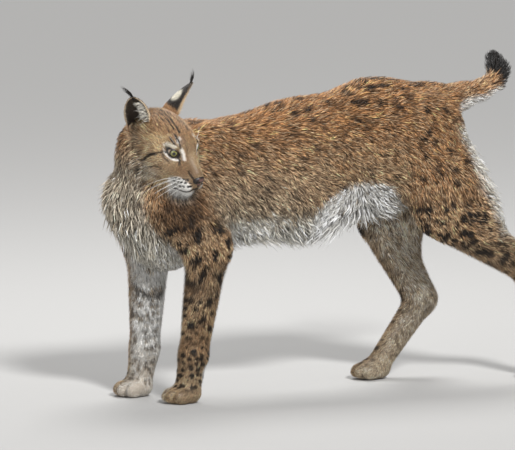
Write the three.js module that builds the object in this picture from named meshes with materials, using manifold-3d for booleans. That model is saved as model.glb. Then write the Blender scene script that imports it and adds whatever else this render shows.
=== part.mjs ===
// A Eurasian lynx, life size, standing square on the floor and looking back over its left flank.
// Millimetres, +Z up, floor at z = 0. It faces -X, and its left side is -Y.
// The flesh and coat are one smooth field of bones and eggs, meshed and parted by thin cuts.
// The long coat of ruff, breast, belly, breeches and tail is flat locks fused to the parts.
import * as THREE from "three";
import { mergeVertices } from "three/addons/utils/BufferGeometryUtils.js";
import Module from "manifold-3d";

const wasm = await Module();
wasm.setup();

// Driving sizes of the animal
const SHOULDER_HEIGHT = 590;
const RUMP_HEIGHT = 655;
const EYE_RADIUS = 13;
const EYE_SPACING = 59;
const EAR_LENGTH = 75;
const EAR_WIDTH = 54;
const EAR_TUFT = 33;
const HEAD_TURN = 110;
const HEAD_DOWN = 25;
const HEAD_TILT = 6;
const GAP = 0.3;

// Vectors as arrays
const add = (a, b) => [a[0] + b[0], a[1] + b[1], a[2] + b[2]];
const sub = (a, b) => [a[0] - b[0], a[1] - b[1], a[2] - b[2]];
const mul = (a, s) => [a[0] * s, a[1] * s, a[2] * s];
const dot = (a, b) => a[0] * b[0] + a[1] * b[1] + a[2] * b[2];
const cross = (a, b) => [
  a[1] * b[2] - a[2] * b[1],
  a[2] * b[0] - a[0] * b[2],
  a[0] * b[1] - a[1] * b[0],
];
const size = (a) => Math.hypot(a[0], a[1], a[2]);
const unit = (a) => mul(a, 1 / size(a));
const mix = (a, b, t) => add(mul(a, 1 - t), mul(b, t));
const clamp = (x, low, high) => Math.min(high, Math.max(low, x));
const radians = THREE.MathUtils.degToRad;

// Fields: negative inside, in millimetres from the surface
function join(a, b, soft) {
  const h = clamp(0.5 + (0.5 * (b - a)) / soft, 0, 1);
  return b * (1 - h) + a * h - soft * h * (1 - h);
}

function carve(a, b, soft) {
  return -join(-a, b, soft);
}

function bone(p, from, to, startRadius, endRadius, flat = 1) {
  const along = sub(to, from);
  const v = sub(p, from);
  const t = clamp(dot(v, along) / dot(along, along), 0, 1);
  const off = sub(v, mul(along, t));
  off[1] /= flat;
  return size(off) - (startRadius + (endRadius - startRadius) * t);
}

function egg(p, centre, radii) {
  const q = sub(p, centre);
  const near = Math.hypot(q[0] / radii[0], q[1] / radii[1], q[2] / radii[2]);
  const far = Math.hypot(q[0] / radii[0] ** 2, q[1] / radii[1] ** 2, q[2] / radii[2] ** 2);
  return (near * (near - 1)) / Math.max(far, 1e-9);
}

// Legs: joints from the photograph's stance, left legs at -Y
const FORELEGS = {
  left: {
    blade: [-258, -42, SHOULDER_HEIGHT - 50],
    shoulder: [-362, -72, 425],
    elbow: [-290, -84, 325],
    wrist: [-322, -78, 100],
    ball: [-336, -77, 24],
  },
  right: {
    blade: [-266, 42, SHOULDER_HEIGHT - 50],
    shoulder: [-388, 64, 415],
    elbow: [-350, 70, 310],
    wrist: [-362, 66, 100],
    ball: [-376, 66, 24],
  },
};
const HINDLEGS = {
  left: { hip: [240, -52, 525], knee: [264, -80, 364], hock: [478, -78, 238], ball: [520, -78, 26] },
  right: { hip: [232, 52, 525], knee: [208, 78, 335], hock: [305, 74, 165], ball: [196, 72, 26] },
};
const TAIL = [
  { at: [296, 0, 585], radius: 46 },
  { at: [360, 1, 602], radius: 30 },
  { at: [415, 6, 612], radius: 24 },
  { at: [454, 20, 626], radius: 23 },
  { at: [472, 42, 648], radius: 27 },
  { at: [471, 60, 670], radius: 20 },
];

// The head's own frame: forward, left and up, about the middle of the braincase
const HEAD_CENTRE = [-388, -85, 560];
const HEAD_AXES = headAxes();

function turned(v, axis, angle) {
  const out = new THREE.Vector3(...v).applyAxisAngle(new THREE.Vector3(...axis), angle);
  return [out.x, out.y, out.z];
}

function headAxes() {
  const heading = radians(180 + HEAD_TURN);
  const level = [Math.cos(heading), Math.sin(heading), 0];
  const left = cross([0, 0, 1], level);
  const forward = turned(level, left, radians(HEAD_DOWN));
  const up = turned([0, 0, 1], left, radians(HEAD_DOWN));
  const tilt = radians(HEAD_TILT);
  return [forward, turned(left, forward, tilt), turned(up, forward, tilt)];
}

const toHead = (p) => HEAD_AXES.map((axis) => dot(sub(p, HEAD_CENTRE), axis));
const fromHead = (q) =>
  add(HEAD_CENTRE, [0, 1, 2].map((i) => HEAD_AXES.reduce((sum, axis, k) => sum + axis[i] * q[k], 0)));
const headDirection = (q) => sub(fromHead(q), HEAD_CENTRE);
const EYE = [49, EYE_SPACING / 2, 4];
const GAZE = unit([0.8, 0.58, 0.1]);

function headField(p) {
  const q = toHead(p);
  q[1] = Math.abs(q[1]);
  let d = egg(q, [-24, 0, 0], [66, 58, 54]);
  const soften = (shape, soft) => {
    d = join(d, shape, soft);
  };
  soften(egg(q, [20, 0, 6], [52, 46, 42]), 24); // forehead
  soften(egg(q, [50, 24, 16], [14, 17, 9]), 12); // brow
  soften(egg(q, [4, 38, -40], [50, 32, 46]), 26); // cheek
  soften(egg(q, [30, 38, -24], [26, 18, 19]), 18); // cheekbone
  soften(egg(q, [46, 22, -32], [30, 24, 24]), 18); // between eye and muzzle
  soften(bone(q, [44, 0, 6], [102, 0, -26], 24, 13, 0.95), 16); // bridge of the nose
  soften(bone(q, [46, 0, -40], [88, 0, -46], 38, 25, 0.95), 18); // muzzle
  soften(egg(q, [86, 15, -54], [26, 16, 18]), 8); // whisker pad
  soften(egg(q, [107, 0, -50], [9, 9, 10]), 6); // lip under the nose
  soften(egg(q, [81, 0, -74], [24, 17, 17]), 7); // chin
  soften(bone(q, [-5, 26, -70], [64, 10, -72], 26, 16), 18); // jaw
  soften(egg(q, [110, 0, -34], [10, 12, 9]), 5); // nose
  return carve(d, size(sub(q, add(EYE, mul(GAZE, 15)))) - 9, 8);
}

function trunkField(p) {
  let d = bone(p, [-250, 0, 450], [-40, 0, 470], 132, 142, 0.68);
  const soften = (shape, soft) => {
    d = join(d, shape, soft);
  };
  soften(bone(p, [-40, 0, 470], [160, 0, 510], 142, 138, 0.62), 40); // belly
  soften(bone(p, [160, 0, 518], [262, 0, RUMP_HEIGHT - 105], 134, 88, 0.7), 40); // rump
  soften(bone(p, [-378, 0, 405], [-300, 0, 420], 92, 118, 0.85), 50); // chest
  soften(bone(p, [-386, 6, 440], [-400, -30, 532], 80, 62), 40); // throat
  soften(bone(p, [-320, 0, 495], [-400, -24, 532], 84, 62), 40); // nape
  soften(egg(p, [-345, 0, 330], [70, 52, 62]), 40); // breast between the forelegs
  return d;
}

function foreField(p, leg) {
  let d = bone(p, leg.blade, leg.shoulder, 44, 62, 0.62);
  d = join(d, bone(p, leg.shoulder, leg.elbow, 66, 54, 0.72), 30);
  d = join(d, bone(p, leg.elbow, leg.wrist, 50, 33, 0.85), 20);
  d = join(d, bone(p, leg.wrist, leg.ball, 33, 28), 14);
  return join(d, pawField(p, leg.ball, 50, 39), 8);
}

function hindField(p, leg) {
  const stifle = add(mix(leg.hip, leg.knee, 0.65), [12, 0, 0]);
  const calf = add(mix(leg.knee, leg.hock, 0.5), [0, 0, 40]);
  let d = bone(p, leg.hip, stifle, 96, 82, 0.52);
  d = join(d, bone(p, add(leg.hip, [40, 0, -10]), calf, 60, 50, 0.6), 30);
  d = join(d, bone(p, leg.knee, leg.hock, 54, 38, 0.75), 26);
  d = join(d, bone(p, leg.hock, leg.ball, 34, 26, 0.85), 16);
  return join(d, pawField(p, leg.ball, 52, 37), 8);
}

// A paw: the pad under the ball and four toes fanned in front of it
function pawField(p, ball, length, halfWidth) {
  let d = egg(p, add(ball, [-6, 0, -4]), [length * 0.72, halfWidth * 0.9, 25]);
  for (const spread of [-1.5, -0.5, 0.5, 1.5]) {
    const reach = length * (Math.abs(spread) < 1 ? 0.72 : 0.5);
    const toe = add(ball, [-reach, spread * halfWidth * 0.46, -8]);
    d = join(d, egg(p, toe, [length * 0.42, halfWidth * 0.3, 17]), 5);
  }
  return d;
}

function tailField(p) {
  let d = Infinity;
  for (let i = 1; i < TAIL.length; i += 1) {
    const piece = bone(p, TAIL[i - 1].at, TAIL[i].at, TAIL[i - 1].radius, TAIL[i].radius);
    d = i === 1 ? piece : join(d, piece, 12);
  }
  return d;
}

function coatField(p) {
  let d = join(trunkField(p), headField(p), 22);
  for (const leg of Object.values(FORELEGS)) d = join(d, foreField(p, leg), 30);
  for (const leg of Object.values(HINDLEGS)) d = join(d, hindField(p, leg), 34);
  return join(d, tailField(p), 26);
}

// How deep the core lies under the tips where the coat is long: most at each place's middle
const LONG_COAT = [
  { at: [-420, 0, 400], radii: [90, 110, 110], depth: 9 },
  { at: [-60, 0, 330], radii: [280, 110, 70], depth: 10 },
  { at: [170, 0, 385], radii: [90, 110, 60], depth: 10 },
  { at: [370, 0, 440], radii: [75, 160, 120], depth: 9 },
  { at: [430, 20, 630], radii: [120, 90, 90], depth: 8 },
];
const RUFF = { at: [-14, 62, -66], radii: [58, 44, 46], depth: 8 };

function lengthIn(p, { at, radii, depth }) {
  const far = Math.hypot(...sub(p, at).map((v, i) => v / radii[i]));
  return depth * clamp(2.2 * (1 - far), 0, 1);
}

function longCoat(p) {
  const q = toHead(p);
  q[1] = Math.abs(q[1]);
  return LONG_COAT.reduce((most, place) => Math.max(most, lengthIn(p, place)), lengthIn(q, RUFF));
}

const coreField = (p) => coatField(p) + longCoat(p);

function slope(p, step = 1.5) {
  return [0, 1, 2].map((i) => {
    const shift = [0, 0, 0];
    shift[i] = step;
    return (coreField(add(p, shift)) - coreField(sub(p, shift))) / (2 * step);
  });
}

// The nearest point at a height over the core
function settle(p, height = 0, rounds = 4) {
  let q = p;
  for (let i = 0; i < rounds; i += 1) {
    const g = slope(q);
    q = sub(q, mul(g, (coreField(q) - height) / Math.max(dot(g, g), 0.2)));
  }
  return q;
}

// Where a ray from inside leaves the core
function surfaceFrom(start, direction) {
  let p = start;
  const step = unit(direction);
  for (let i = 0; i < 80; i += 1) {
    const d = coreField(p);
    if (d > -0.2) break;
    p = add(p, mul(step, Math.max(-d * 0.7, 0.5)));
  }
  return p;
}

// Grid lines from low to high, of a spacing that may vary along the way
function gridLines(low, high, spacing) {
  const lines = [low];
  while (lines[lines.length - 1] < high) {
    const at = lines[lines.length - 1];
    lines.push(at + spacing(at));
  }
  return lines;
}

// A closed surface net of the core at a height over it, inside a box of a turned frame
function netOf(frame, lines, height = 0) {
  const { centre, axes } = frame;
  const world = (q) =>
    add(centre, [0, 1, 2].map((i) => axes[0][i] * q[0] + axes[1][i] * q[1] + axes[2][i] * q[2]));
  const [xs, ys, zs] = lines;
  const [nx, ny, nz] = lines.map((line) => line.length);
  const index = (i, j, k) => (k * ny + j) * nx + i;
  const values = new Float64Array(nx * ny * nz);
  for (let k = 0; k < nz; k += 1) {
    for (let j = 0; j < ny; j += 1) {
      for (let i = 0; i < nx; i += 1) {
        const rim = i === 0 || j === 0 || k === 0 || i === nx - 1 || j === ny - 1 || k === nz - 1;
        const here = coreField(world([xs[i], ys[j], zs[k]])) - height;
        values[index(i, j, k)] = rim ? Math.max(here, 0.5) : here;
      }
    }
  }
  const corners = [];
  for (let c = 0; c < 8; c += 1) corners.push([c & 1, (c >> 1) & 1, (c >> 2) & 1]);
  const edges = [];
  for (let a = 0; a < 8; a += 1) {
    for (const bit of [1, 2, 4]) if (!(a & bit)) edges.push([a, a | bit]);
  }
  const places = [];
  const cellVertex = new Map();
  for (let k = 0; k < nz - 1; k += 1) {
    for (let j = 0; j < ny - 1; j += 1) {
      for (let i = 0; i < nx - 1; i += 1) {
        const v = corners.map(([a, b, c]) => values[index(i + a, j + b, k + c)]);
        const inside = v.filter((x) => x < 0).length;
        if (inside === 0 || inside === 8) continue;
        let sum = [0, 0, 0];
        let count = 0;
        for (const [a, b] of edges) {
          if (v[a] < 0 === v[b] < 0) continue;
          const t = v[a] / (v[a] - v[b]);
          const at = (c) => [xs[i + corners[c][0]], ys[j + corners[c][1]], zs[k + corners[c][2]]];
          sum = add(sum, mix(at(a), at(b), t));
          count += 1;
        }
        const spot = world(mul(sum, 1 / count));
        const rim = i === 0 || j === 0 || k === 0 || i === nx - 2 || j === ny - 2 || k === nz - 2;
        const cell = Math.min(xs[i + 1] - xs[i], ys[j + 1] - ys[j], zs[k + 1] - zs[k]);
        const better = rim ? spot : settle(spot, height, 2);
        cellVertex.set(index(i, j, k), places.length);
        places.push(size(sub(better, spot)) < 0.45 * cell ? better : spot);
      }
    }
  }
  const faces = [];
  const quad = (a, b, c, d, flip) => {
    const [p, q, r, s] = [a, b, c, d].map((cell) => cellVertex.get(cell));
    const short = size(sub(places[p], places[r])) < size(sub(places[q], places[s]));
    const two = short ? [[p, q, r], [p, r, s]] : [[p, q, s], [q, r, s]];
    for (const [x, y, z] of two) faces.push(...(flip ? [x, z, y] : [x, y, z]));
  };
  for (let k = 0; k < nz - 1; k += 1) {
    for (let j = 0; j < ny - 1; j += 1) {
      for (let i = 0; i < nx - 1; i += 1) {
        const here = values[index(i, j, k)] < 0;
        if (j > 0 && k > 0 && here !== values[index(i + 1, j, k)] < 0) {
          quad(index(i, j - 1, k - 1), index(i, j, k - 1), index(i, j, k), index(i, j - 1, k), !here);
        }
        if (i > 0 && k > 0 && here !== values[index(i, j + 1, k)] < 0) {
          quad(index(i - 1, j, k - 1), index(i - 1, j, k), index(i, j, k), index(i, j, k - 1), !here);
        }
        if (i > 0 && j > 0 && here !== values[index(i, j, k + 1)] < 0) {
          quad(index(i - 1, j - 1, k), index(i, j - 1, k), index(i, j, k), index(i - 1, j, k), !here);
        }
      }
    }
  }
  return { places, faces };
}

// Whether each edge joins two faces, which fails where sheets touch in one cell
function edgesPair(faces) {
  const seen = new Set();
  for (let i = 0; i < faces.length; i += 3) {
    for (let k = 0; k < 3; k += 1) {
      const edge = faces[i + k] * 1e6 + faces[i + ((k + 1) % 3)];
      if (seen.has(edge)) return false;
      seen.add(edge);
    }
  }
  return true;
}

function solidFrom(places, faces) {
  return new wasm.Manifold(
    new wasm.Mesh({
      numProp: 3,
      vertProperties: new Float32Array(places.flat()),
      triVerts: new Uint32Array(faces),
    }),
  );
}

function solidOf(geometry) {
  const bare = geometry.clone();
  bare.deleteAttribute("normal");
  bare.deleteAttribute("uv");
  const merged = mergeVertices(bare, 1e-4);
  return new wasm.Manifold(
    new wasm.Mesh({
      numProp: 3,
      vertProperties: new Float32Array(merged.attributes.position.array),
      triVerts: new Uint32Array(merged.index.array),
    }),
  );
}

// Shapes that part the animal or are cut from it, each a closed solid
function placed(geometry, centre, axes = [[1, 0, 0], [0, 1, 0], [0, 0, 1]]) {
  const turn = new THREE.Matrix4().makeBasis(...axes.map((axis) => new THREE.Vector3(...axis)));
  turn.setPosition(...centre);
  return solidOf(geometry.applyMatrix4(turn));
}

function ball(centre, radii, axes, around = 20, down = 14) {
  return placed(new THREE.SphereGeometry(1, around, down).scale(...radii), centre, axes);
}

function block(low, high) {
  return placed(new THREE.BoxGeometry(...sub(high, low)), mix(low, high, 0.5));
}

// What lies on the side of a plane that its normal points to
function beyond(solid, point, normal, margin = GAP / 2) {
  return solid.trimByPlane(unit(normal), dot(unit(normal), point) + margin);
}

const behind = (solid, point, normal, margin = GAP / 2) => beyond(solid, point, mul(normal, -1), margin);

function largest(solid) {
  return solid.decompose().reduce((best, piece) => (piece.volume() > best.volume() ? piece : best));
}

// Locks of the long coat: flat, tapered, root sunk in the core, tip lifted clear of it
let seed = 20;

function random() {
  seed = (seed * 16807) % 2147483647;
  return seed / 2147483647;
}

const vary = (amount) => 1 + amount * (2 * random() - 1);
const LOCK_SUNK = 8;
const LOCK_TAPER = [[0, 0.85], [0.28, 1], [0.66, 0.62], [1, 0]];
const LOCK_FLATNESS = 0.12;

// A lock along a path, its flat side to the given outward directions
function lockOn(path, outward, width) {
  const places = [];
  const faces = [];
  path.slice(0, -1).forEach((p, i) => {
    const ahead = unit(sub(path[i + 1], p));
    const across = unit(cross(ahead, outward[i]));
    const out = cross(across, ahead);
    const half = (width * LOCK_TAPER[i][1]) / 2;
    const thick = half * 2 * LOCK_FLATNESS + 0.8;
    places.push(add(p, mul(across, half)), add(p, mul(out, thick)));
    places.push(sub(p, mul(across, half)), sub(p, mul(out, thick)));
  });
  const rings = path.length - 1;
  places.push(path[rings]);
  for (let i = 0; i < rings; i += 1) {
    for (let k = 0; k < 4; k += 1) {
      const [a, b] = [4 * i + k, 4 * i + ((k + 1) % 4)];
      if (i === rings - 1) faces.push(a, b, 4 * rings);
      else faces.push(a, b, b + 4, a, b + 4, a + 4);
    }
  }
  faces.push(0, 2, 1, 0, 3, 2);
  return facingOut(places, faces);
}

// A lock that starts on the core and follows the lie of the coat
function lockFrom(root, { length, width, lift }, lie) {
  const path = [];
  const outward = [];
  const reach = length * vary(0.16);
  const height = lift * vary(0.3);
  const turn = 0.22 * (2 * random() - 1);
  let p = root;
  LOCK_TAPER.forEach(([s], i) => {
    if (i > 0) {
      const out = unit(slope(p));
      const way = lie(p);
      const flat = unit(sub(way, mul(out, dot(way, out))));
      const bent = unit(add(flat, mul(cross(out, flat), turn)));
      p = add(p, mul(bent, reach * (s - LOCK_TAPER[i - 1][0])));
    }
    p = settle(p, -LOCK_SUNK + (height + LOCK_SUNK) * s ** 0.85, 2);
    path.push(p);
    outward.push(unit(slope(p)));
  });
  return lockOn(path, outward, width * vary(0.15));
}

// Rows of locks round an axis, each row set half a step aside from the last
function coatRows(patch) {
  const { from, to, out, angles, rows, columns, lie } = patch;
  const along = unit(sub(to, from));
  const side = unit(cross(along, out));
  const front = cross(side, along);
  const locks = [];
  for (let row = 0; row < rows; row += 1) {
    for (let column = 0; column < columns; column += 1) {
      const t = (row + 0.5 + 0.24 * (random() - 0.5)) / rows;
      const place = column + 0.5 + (row % 2 ? 0.25 : -0.25) + 0.2 * (random() - 0.5);
      const angle = radians(angles[0] + ((angles[1] - angles[0]) * place) / columns);
      const ray = add(mul(front, Math.cos(angle)), mul(side, Math.sin(angle)));
      locks.push(lockFrom(surfaceFrom(mix(from, to, t), ray), patch, lie));
    }
  }
  return locks;
}

const withLocks = (solid, locks) => locks.reduce((whole, lock) => whole.add(lock), solid);

// Where the parts meet
const HEAD_CUT = { centre: [-10, -12, -20], radii: [160, 100, 104], back: [-0.8, 0, -0.6], depth: 78 };
const NECK_CUT = { point: [-375, 0, 490], normal: [-0.78, -0.1, 0.62] };
const TAIL_CUT = { point: [338, 0, 597], normal: [0.96, 0, 0.28] };
const TAIL_TIP_CUT = { point: [436, 14, 620], normal: [0.9, 0.3, 0.3] };
const THIGH_CUT = { point: [230, 0, 470], normal: [-0.5, 0, 0.87] };
const GROIN = 135;
const ELBOW_HEIGHT = 345;
const BREAST_HALF_WIDTH = 27;
const PASTERN_HEIGHT = 92;
const FAR = 220;

function headRegion(margin) {
  const radii = HEAD_CUT.radii.map((radius) => radius + margin);
  const egg = ball(fromHead(HEAD_CUT.centre), radii, HEAD_AXES);
  const back = headDirection(HEAD_CUT.back);
  return behind(egg, add(HEAD_CENTRE, mul(back, HEAD_CUT.depth)), back, -margin);
}

function sided(side, inner, low, high) {
  const y = side > 0 ? [inner, FAR] : [-FAR, -inner];
  return block([low[0], y[0], low[1]], [high[0], y[1], high[1]]);
}

function forelegRegion(side, margin) {
  return sided(side, BREAST_HALF_WIDTH - margin, [-480, -30], [-225 + margin, ELBOW_HEIGHT + margin]);
}

function hindlegRegion(side, margin) {
  const room = sided(side, GAP / 2 - margin, [GROIN - margin, -30], [620, 640]);
  return behind(room, THIGH_CUT.point, THIGH_CUT.normal, -margin);
}

// A net's frame and lines over a box, with one spacing a side or a rule for it
const LEVEL = { centre: [0, 0, 0], axes: [[1, 0, 0], [0, 1, 0], [0, 0, 1]] };
const HEAD_FRAME = { centre: HEAD_CENTRE, axes: HEAD_AXES };

function netIn(frame, low, high, spacing, height = 0) {
  const rules = spacing.map((step) => (typeof step === "function" ? step : () => step));
  for (let shift = 0; shift < 20; shift += 1) {
    const lines = rules.map((rule, i) => gridLines(low[i] - shift, high[i] + shift, rule));
    const { places, faces } = netOf(frame, lines, height);
    if (edgesPair(faces)) return solidFrom(places, faces);
  }
  throw new Error("no grid gives a sound net");
}

// The long coat, patch by patch: an axis in the body, the side it grows on, and its lie
const DOWN = [0, 0, -1];
const BELLY = {
  from: [-215, 0, 430],
  to: [225, 0, 500],
  out: DOWN,
  angles: [-54, 54],
  rows: 6,
  columns: 5,
  length: 92,
  width: 40,
  lift: 20,
  lie: (p) => [0.75, 0.2 * Math.sign(p[1]), -0.7],
};
const CHEST = {
  from: [-350, 0, 455],
  to: [-345, 0, 345],
  out: [-1, 0, 0],
  angles: [-82, 82],
  rows: 3,
  columns: 5,
  length: 72,
  width: 42,
  lift: 13,
  lie: (p) => [0.2, 0.12 * Math.sign(p[1]), -1],
};
const THROAT = {
  from: [-376, -14, 520],
  to: [-376, 0, 440],
  out: [-1, 0.1, 0],
  angles: [-95, 95],
  rows: 2,
  columns: 4,
  length: 64,
  width: 44,
  lift: 10,
  lie: () => [0.05, 0, -1],
};
const TAIL_COAT = {
  from: [345, 0, 598],
  to: [440, 14, 620],
  out: [0, 0, 1],
  angles: [0, 360],
  rows: 2,
  columns: 4,
  length: 60,
  width: 32,
  lift: 12,
  lie: () => [0.9, 0.2, 0.25],
};
const TAIL_TUFT = {
  from: [446, 20, 624],
  to: [470, 56, 664],
  out: [1, 0, 0],
  angles: [0, 360],
  rows: 2,
  columns: 5,
  length: 46,
  width: 28,
  lift: 11,
  lie: () => [0.25, 0.6, 0.8],
};

function breeches(leg, side) {
  return {
    from: add(leg.hip, [20, side * 10, 10]),
    to: add(mix(leg.knee, leg.hock, 0.35), [0, 0, 10]),
    out: [1, 0, 0],
    angles: [-62, 62],
    rows: 3,
    columns: 3,
    length: 80,
    width: 38,
    lift: 14,
    lie: () => [0.42, side * 0.1, -0.9],
  };
}

function elbowFringe(leg) {
  return {
    from: add(leg.elbow, [0, 0, -8]),
    to: mix(leg.elbow, leg.wrist, 0.55),
    out: [1, 0, 0],
    angles: [-38, 38],
    rows: 2,
    columns: 2,
    length: 62,
    width: 24,
    lift: 13,
    lie: () => [0.25, 0, -1],
  };
}

// The ruff hangs back and down from the cheeks, in the head's frame
const RUFF_ROWS = 3;
const RUFF_COLUMNS = 4;
const RUFF_LOCK = { length: 48, width: 24, lift: 14 };

function ruff(side) {
  const locks = [];
  const way = headDirection([-0.75, side * 0.45, -0.75]);
  for (let row = 0; row < RUFF_ROWS; row += 1) {
    for (let column = 0; column < RUFF_COLUMNS; column += 1) {
      const round = radians(-38 + (96 * (column + 0.25 + (row % 2 ? 0.5 : 0))) / RUFF_COLUMNS);
      const reach = [30 - 26 * row, side * Math.cos(round), -Math.sin(round)];
      const start = fromHead([reach[0], side * 12, -30]);
      const ray = headDirection([-0.12, reach[1], reach[2]]);
      locks.push(lockFrom(surfaceFrom(start, ray), RUFF_LOCK, () => way));
    }
  }
  return locks;
}

// Mouth line, from under the nose to its corner, in the head's frame
const MOUTH = [[113, 2, -55], [109, 8, -60], [101, 17, -67], [88, 24, -71], [74, 29, -72]];
const MOUTH_DEPTH = 3.5;
const MOUTH_GAPE = 1.6;

// A thin wedge that follows points on the surface, its edge sunk in
function wedge(points, depth, gape) {
  const places = [];
  const faces = [];
  points.forEach((point, i) => {
    const p = settle(fromHead(point));
    const out = unit(slope(p));
    const ahead = settle(fromHead(points[Math.min(i + 1, points.length - 1)]));
    const back = settle(fromHead(points[Math.max(i - 1, 0)]));
    const across = mul(unit(cross(out, sub(ahead, back))), gape);
    const outer = add(p, mul(out, depth));
    places.push(add(outer, across), sub(outer, across), sub(p, mul(out, depth)));
  });
  for (let i = 0; i + 1 < points.length; i += 1) {
    for (let k = 0; k < 3; k += 1) {
      const [a, b] = [3 * i + k, 3 * i + ((k + 1) % 3)];
      faces.push(a, b, b + 3, a, b + 3, a + 3);
    }
  }
  const last = places.length - 3;
  faces.push(0, 2, 1, last, last + 1, last + 2);
  return facingOut(places, faces);
}

// A solid from places and faces that all turn the same way, outward or not
function facingOut(places, faces) {
  let volume = 0;
  for (let i = 0; i < faces.length; i += 3) {
    volume += dot(places[faces[i]], cross(places[faces[i + 1]], places[faces[i + 2]]));
  }
  const turn = [];
  for (let i = 0; i < faces.length; i += 3) turn.push(faces[i], faces[i + 2], faces[i + 1]);
  return solidFrom(places, volume > 0 ? faces : turn);
}

// Eyes: a ball in its socket, with an almond opening between the lids
const LID_OPENING = { length: 27, height: 17 };
const LID_THICKNESS = 2.4;

function eyeAxes(side) {
  const look = headDirection([GAZE[0], side * GAZE[1], GAZE[2]]);
  const across = unit(cross(headDirection([0, -0.12 * side, 1]), look));
  return [across, cross(look, across), look];
}

const eyeCentre = (side) => fromHead([EYE[0], side * EYE[1], EYE[2]]);

function eyeBall(side, radius) {
  return ball(eyeCentre(side), [radius, radius, radius], eyeAxes(side), 14, 9);
}

function lidOpening(side) {
  const { length, height } = LID_OPENING;
  const outline = new THREE.Shape();
  outline.moveTo(-length / 2, 0);
  outline.quadraticCurveTo(0, height, length / 2, 0);
  outline.quadraticCurveTo(0, -height, -length / 2, 0);
  const cut = new THREE.ExtrudeGeometry(outline, { depth: 40, bevelEnabled: false, curveSegments: 6 });
  return placed(cut, eyeCentre(side), eyeAxes(side));
}

const NOSTRIL = { at: [119, 6, -36], radii: [5, 2.2, 2.6] };

// Finer lines about the muzzle and eyes than over the back of the skull
function headNet(height) {
  const ahead = (at) => (at > 94 ? 6.8 : at > 20 ? 9.5 : 19);
  const aside = (at) => (Math.abs(at) < 42 ? 8.4 : 17);
  const tall = (at) => (at > -66 && at < 16 ? 8 : 16);
  return netIn(HEAD_FRAME, [-100, -118, -118], [132, 92, 78], [ahead, aside, tall], height);
}

function headSolid() {
  let head = withLocks(headNet(0), [...ruff(1), ...ruff(-1)]).intersect(headRegion(0));
  for (const hand of [1, -1]) {
    head = head.add(eyeBall(hand, EYE_RADIUS + LID_THICKNESS));
    head = head.subtract(eyeBall(hand, EYE_RADIUS + GAP));
    head = head.subtract(lidOpening(hand));
    head = head.subtract(wedge(MOUTH.map(([f, l, w]) => [f, l * hand, w]), MOUTH_DEPTH, MOUTH_GAPE));
    const [f, l, w] = NOSTRIL.at;
    head = head.subtract(ball(fromHead([f, l * hand, w]), NOSTRIL.radii, HEAD_AXES, 8, 6));
  }
  return largest(head);
}

// Ears: a cup open to the front, its rim thin, its base wrapping round
const EARS = {
  left: { root: [-47, 48, 28], up: [0, 39, 64], open: [0.55, 0.82, 0.1], tuft: [-27, 19, 13] },
  right: { root: [-47, -48, 28], up: [0, -39, 64], open: [0.6, -0.78, 0.15], tuft: [-27, -19, 13] },
};
const EAR_RIM = 2.4;
const EAR_SUNK = 0.3;

function earSolid(ear) {
  const up = unit(headDirection(ear.up));
  const side = unit(cross(up, headDirection(ear.open)));
  const open = cross(side, up);
  const rings = 6;
  const around = 6;
  const places = [];
  const faces = [];
  for (let i = 0; i <= rings; i += 1) {
    const u = -EAR_SUNK + ((1 + EAR_SUNK) * i) / rings;
    const rise = Math.max(u, 0);
    const half = (EAR_WIDTH / 2) * Math.max(1 - rise ** 2.3, 0.02) ** 0.7 + 1;
    const deep = half * (0.75 - 0.35 * rise);
    const wrap = radians(32 * (1 - rise) ** 2);
    const rim = EAR_RIM * (1 - 0.6 * rise);
    const middle = add(fromHead(ear.root), mul(up, EAR_LENGTH * u));
    for (const inner of [0, 1]) {
      for (let j = 0; j <= around; j += 1) {
        const k = inner ? around - j : j;
        const angle = -wrap + ((Math.PI + 2 * wrap) * k) / around;
        const across = (half - inner * rim) * Math.cos(angle);
        const back = (deep - inner * rim) * Math.sin(angle);
        places.push(add(middle, sub(mul(side, across), mul(open, back))));
      }
    }
  }
  const ring = 2 * (around + 1);
  for (let i = 0; i < rings; i += 1) {
    for (let j = 0; j < ring; j += 1) {
      const [a, b] = [ring * i + j, ring * i + ((j + 1) % ring)];
      faces.push(a, b, b + ring, a, b + ring, a + ring);
    }
  }
  for (const [start, flip] of [[0, true], [ring * rings, false]]) {
    for (let j = 0; j < around; j += 1) {
      const [a, b, c, d] = [j, j + 1, ring - 2 - j, ring - 1 - j].map((k) => start + k);
      faces.push(...(flip ? [a, c, b, a, d, c] : [a, b, c, a, c, d]));
    }
  }
  return facingOut(places, faces);
}

// The black pencil of hair at an ear's tip, swept back
function earTuft(ear) {
  const up = unit(headDirection(ear.up));
  const open = unit(headDirection(ear.open));
  const swept = unit(headDirection(ear.tuft));
  const tip = add(fromHead(ear.root), mul(up, EAR_LENGTH * 0.92));
  return [-1, 0, 1].map((place) => {
    const side = mul(cross(up, open), place);
    const reach = EAR_TUFT * (1 - 0.12 * Math.abs(place));
    const path = LOCK_TAPER.map(([s]) => {
      const bent = add(mul(up, s * (1.3 - s)), mul(swept, s * s));
      return add(add(tip, mul(bent, reach)), mul(side, 1.6 + 2.6 * s));
    });
    return lockOn(path, path.map(() => open), 6.5);
  });
}

const earOver = (ear) => largest(withLocks(earSolid(ear), earTuft(ear)).subtract(headNet(GAP)));

// The body's parts
const BELLY_LOCKS = coatRows(BELLY);
const paw = (at) => (at < 44 ? 11 : 26);

function neckSolid() {
  const net = netIn(LEVEL, [-505, -150, 360], [-290, 130, 650], [22, 21, 22]);
  const neck = beyond(withLocks(net, coatRows(THROAT)), NECK_CUT.point, NECK_CUT.normal);
  return largest(neck.subtract(headRegion(GAP)));
}

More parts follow.
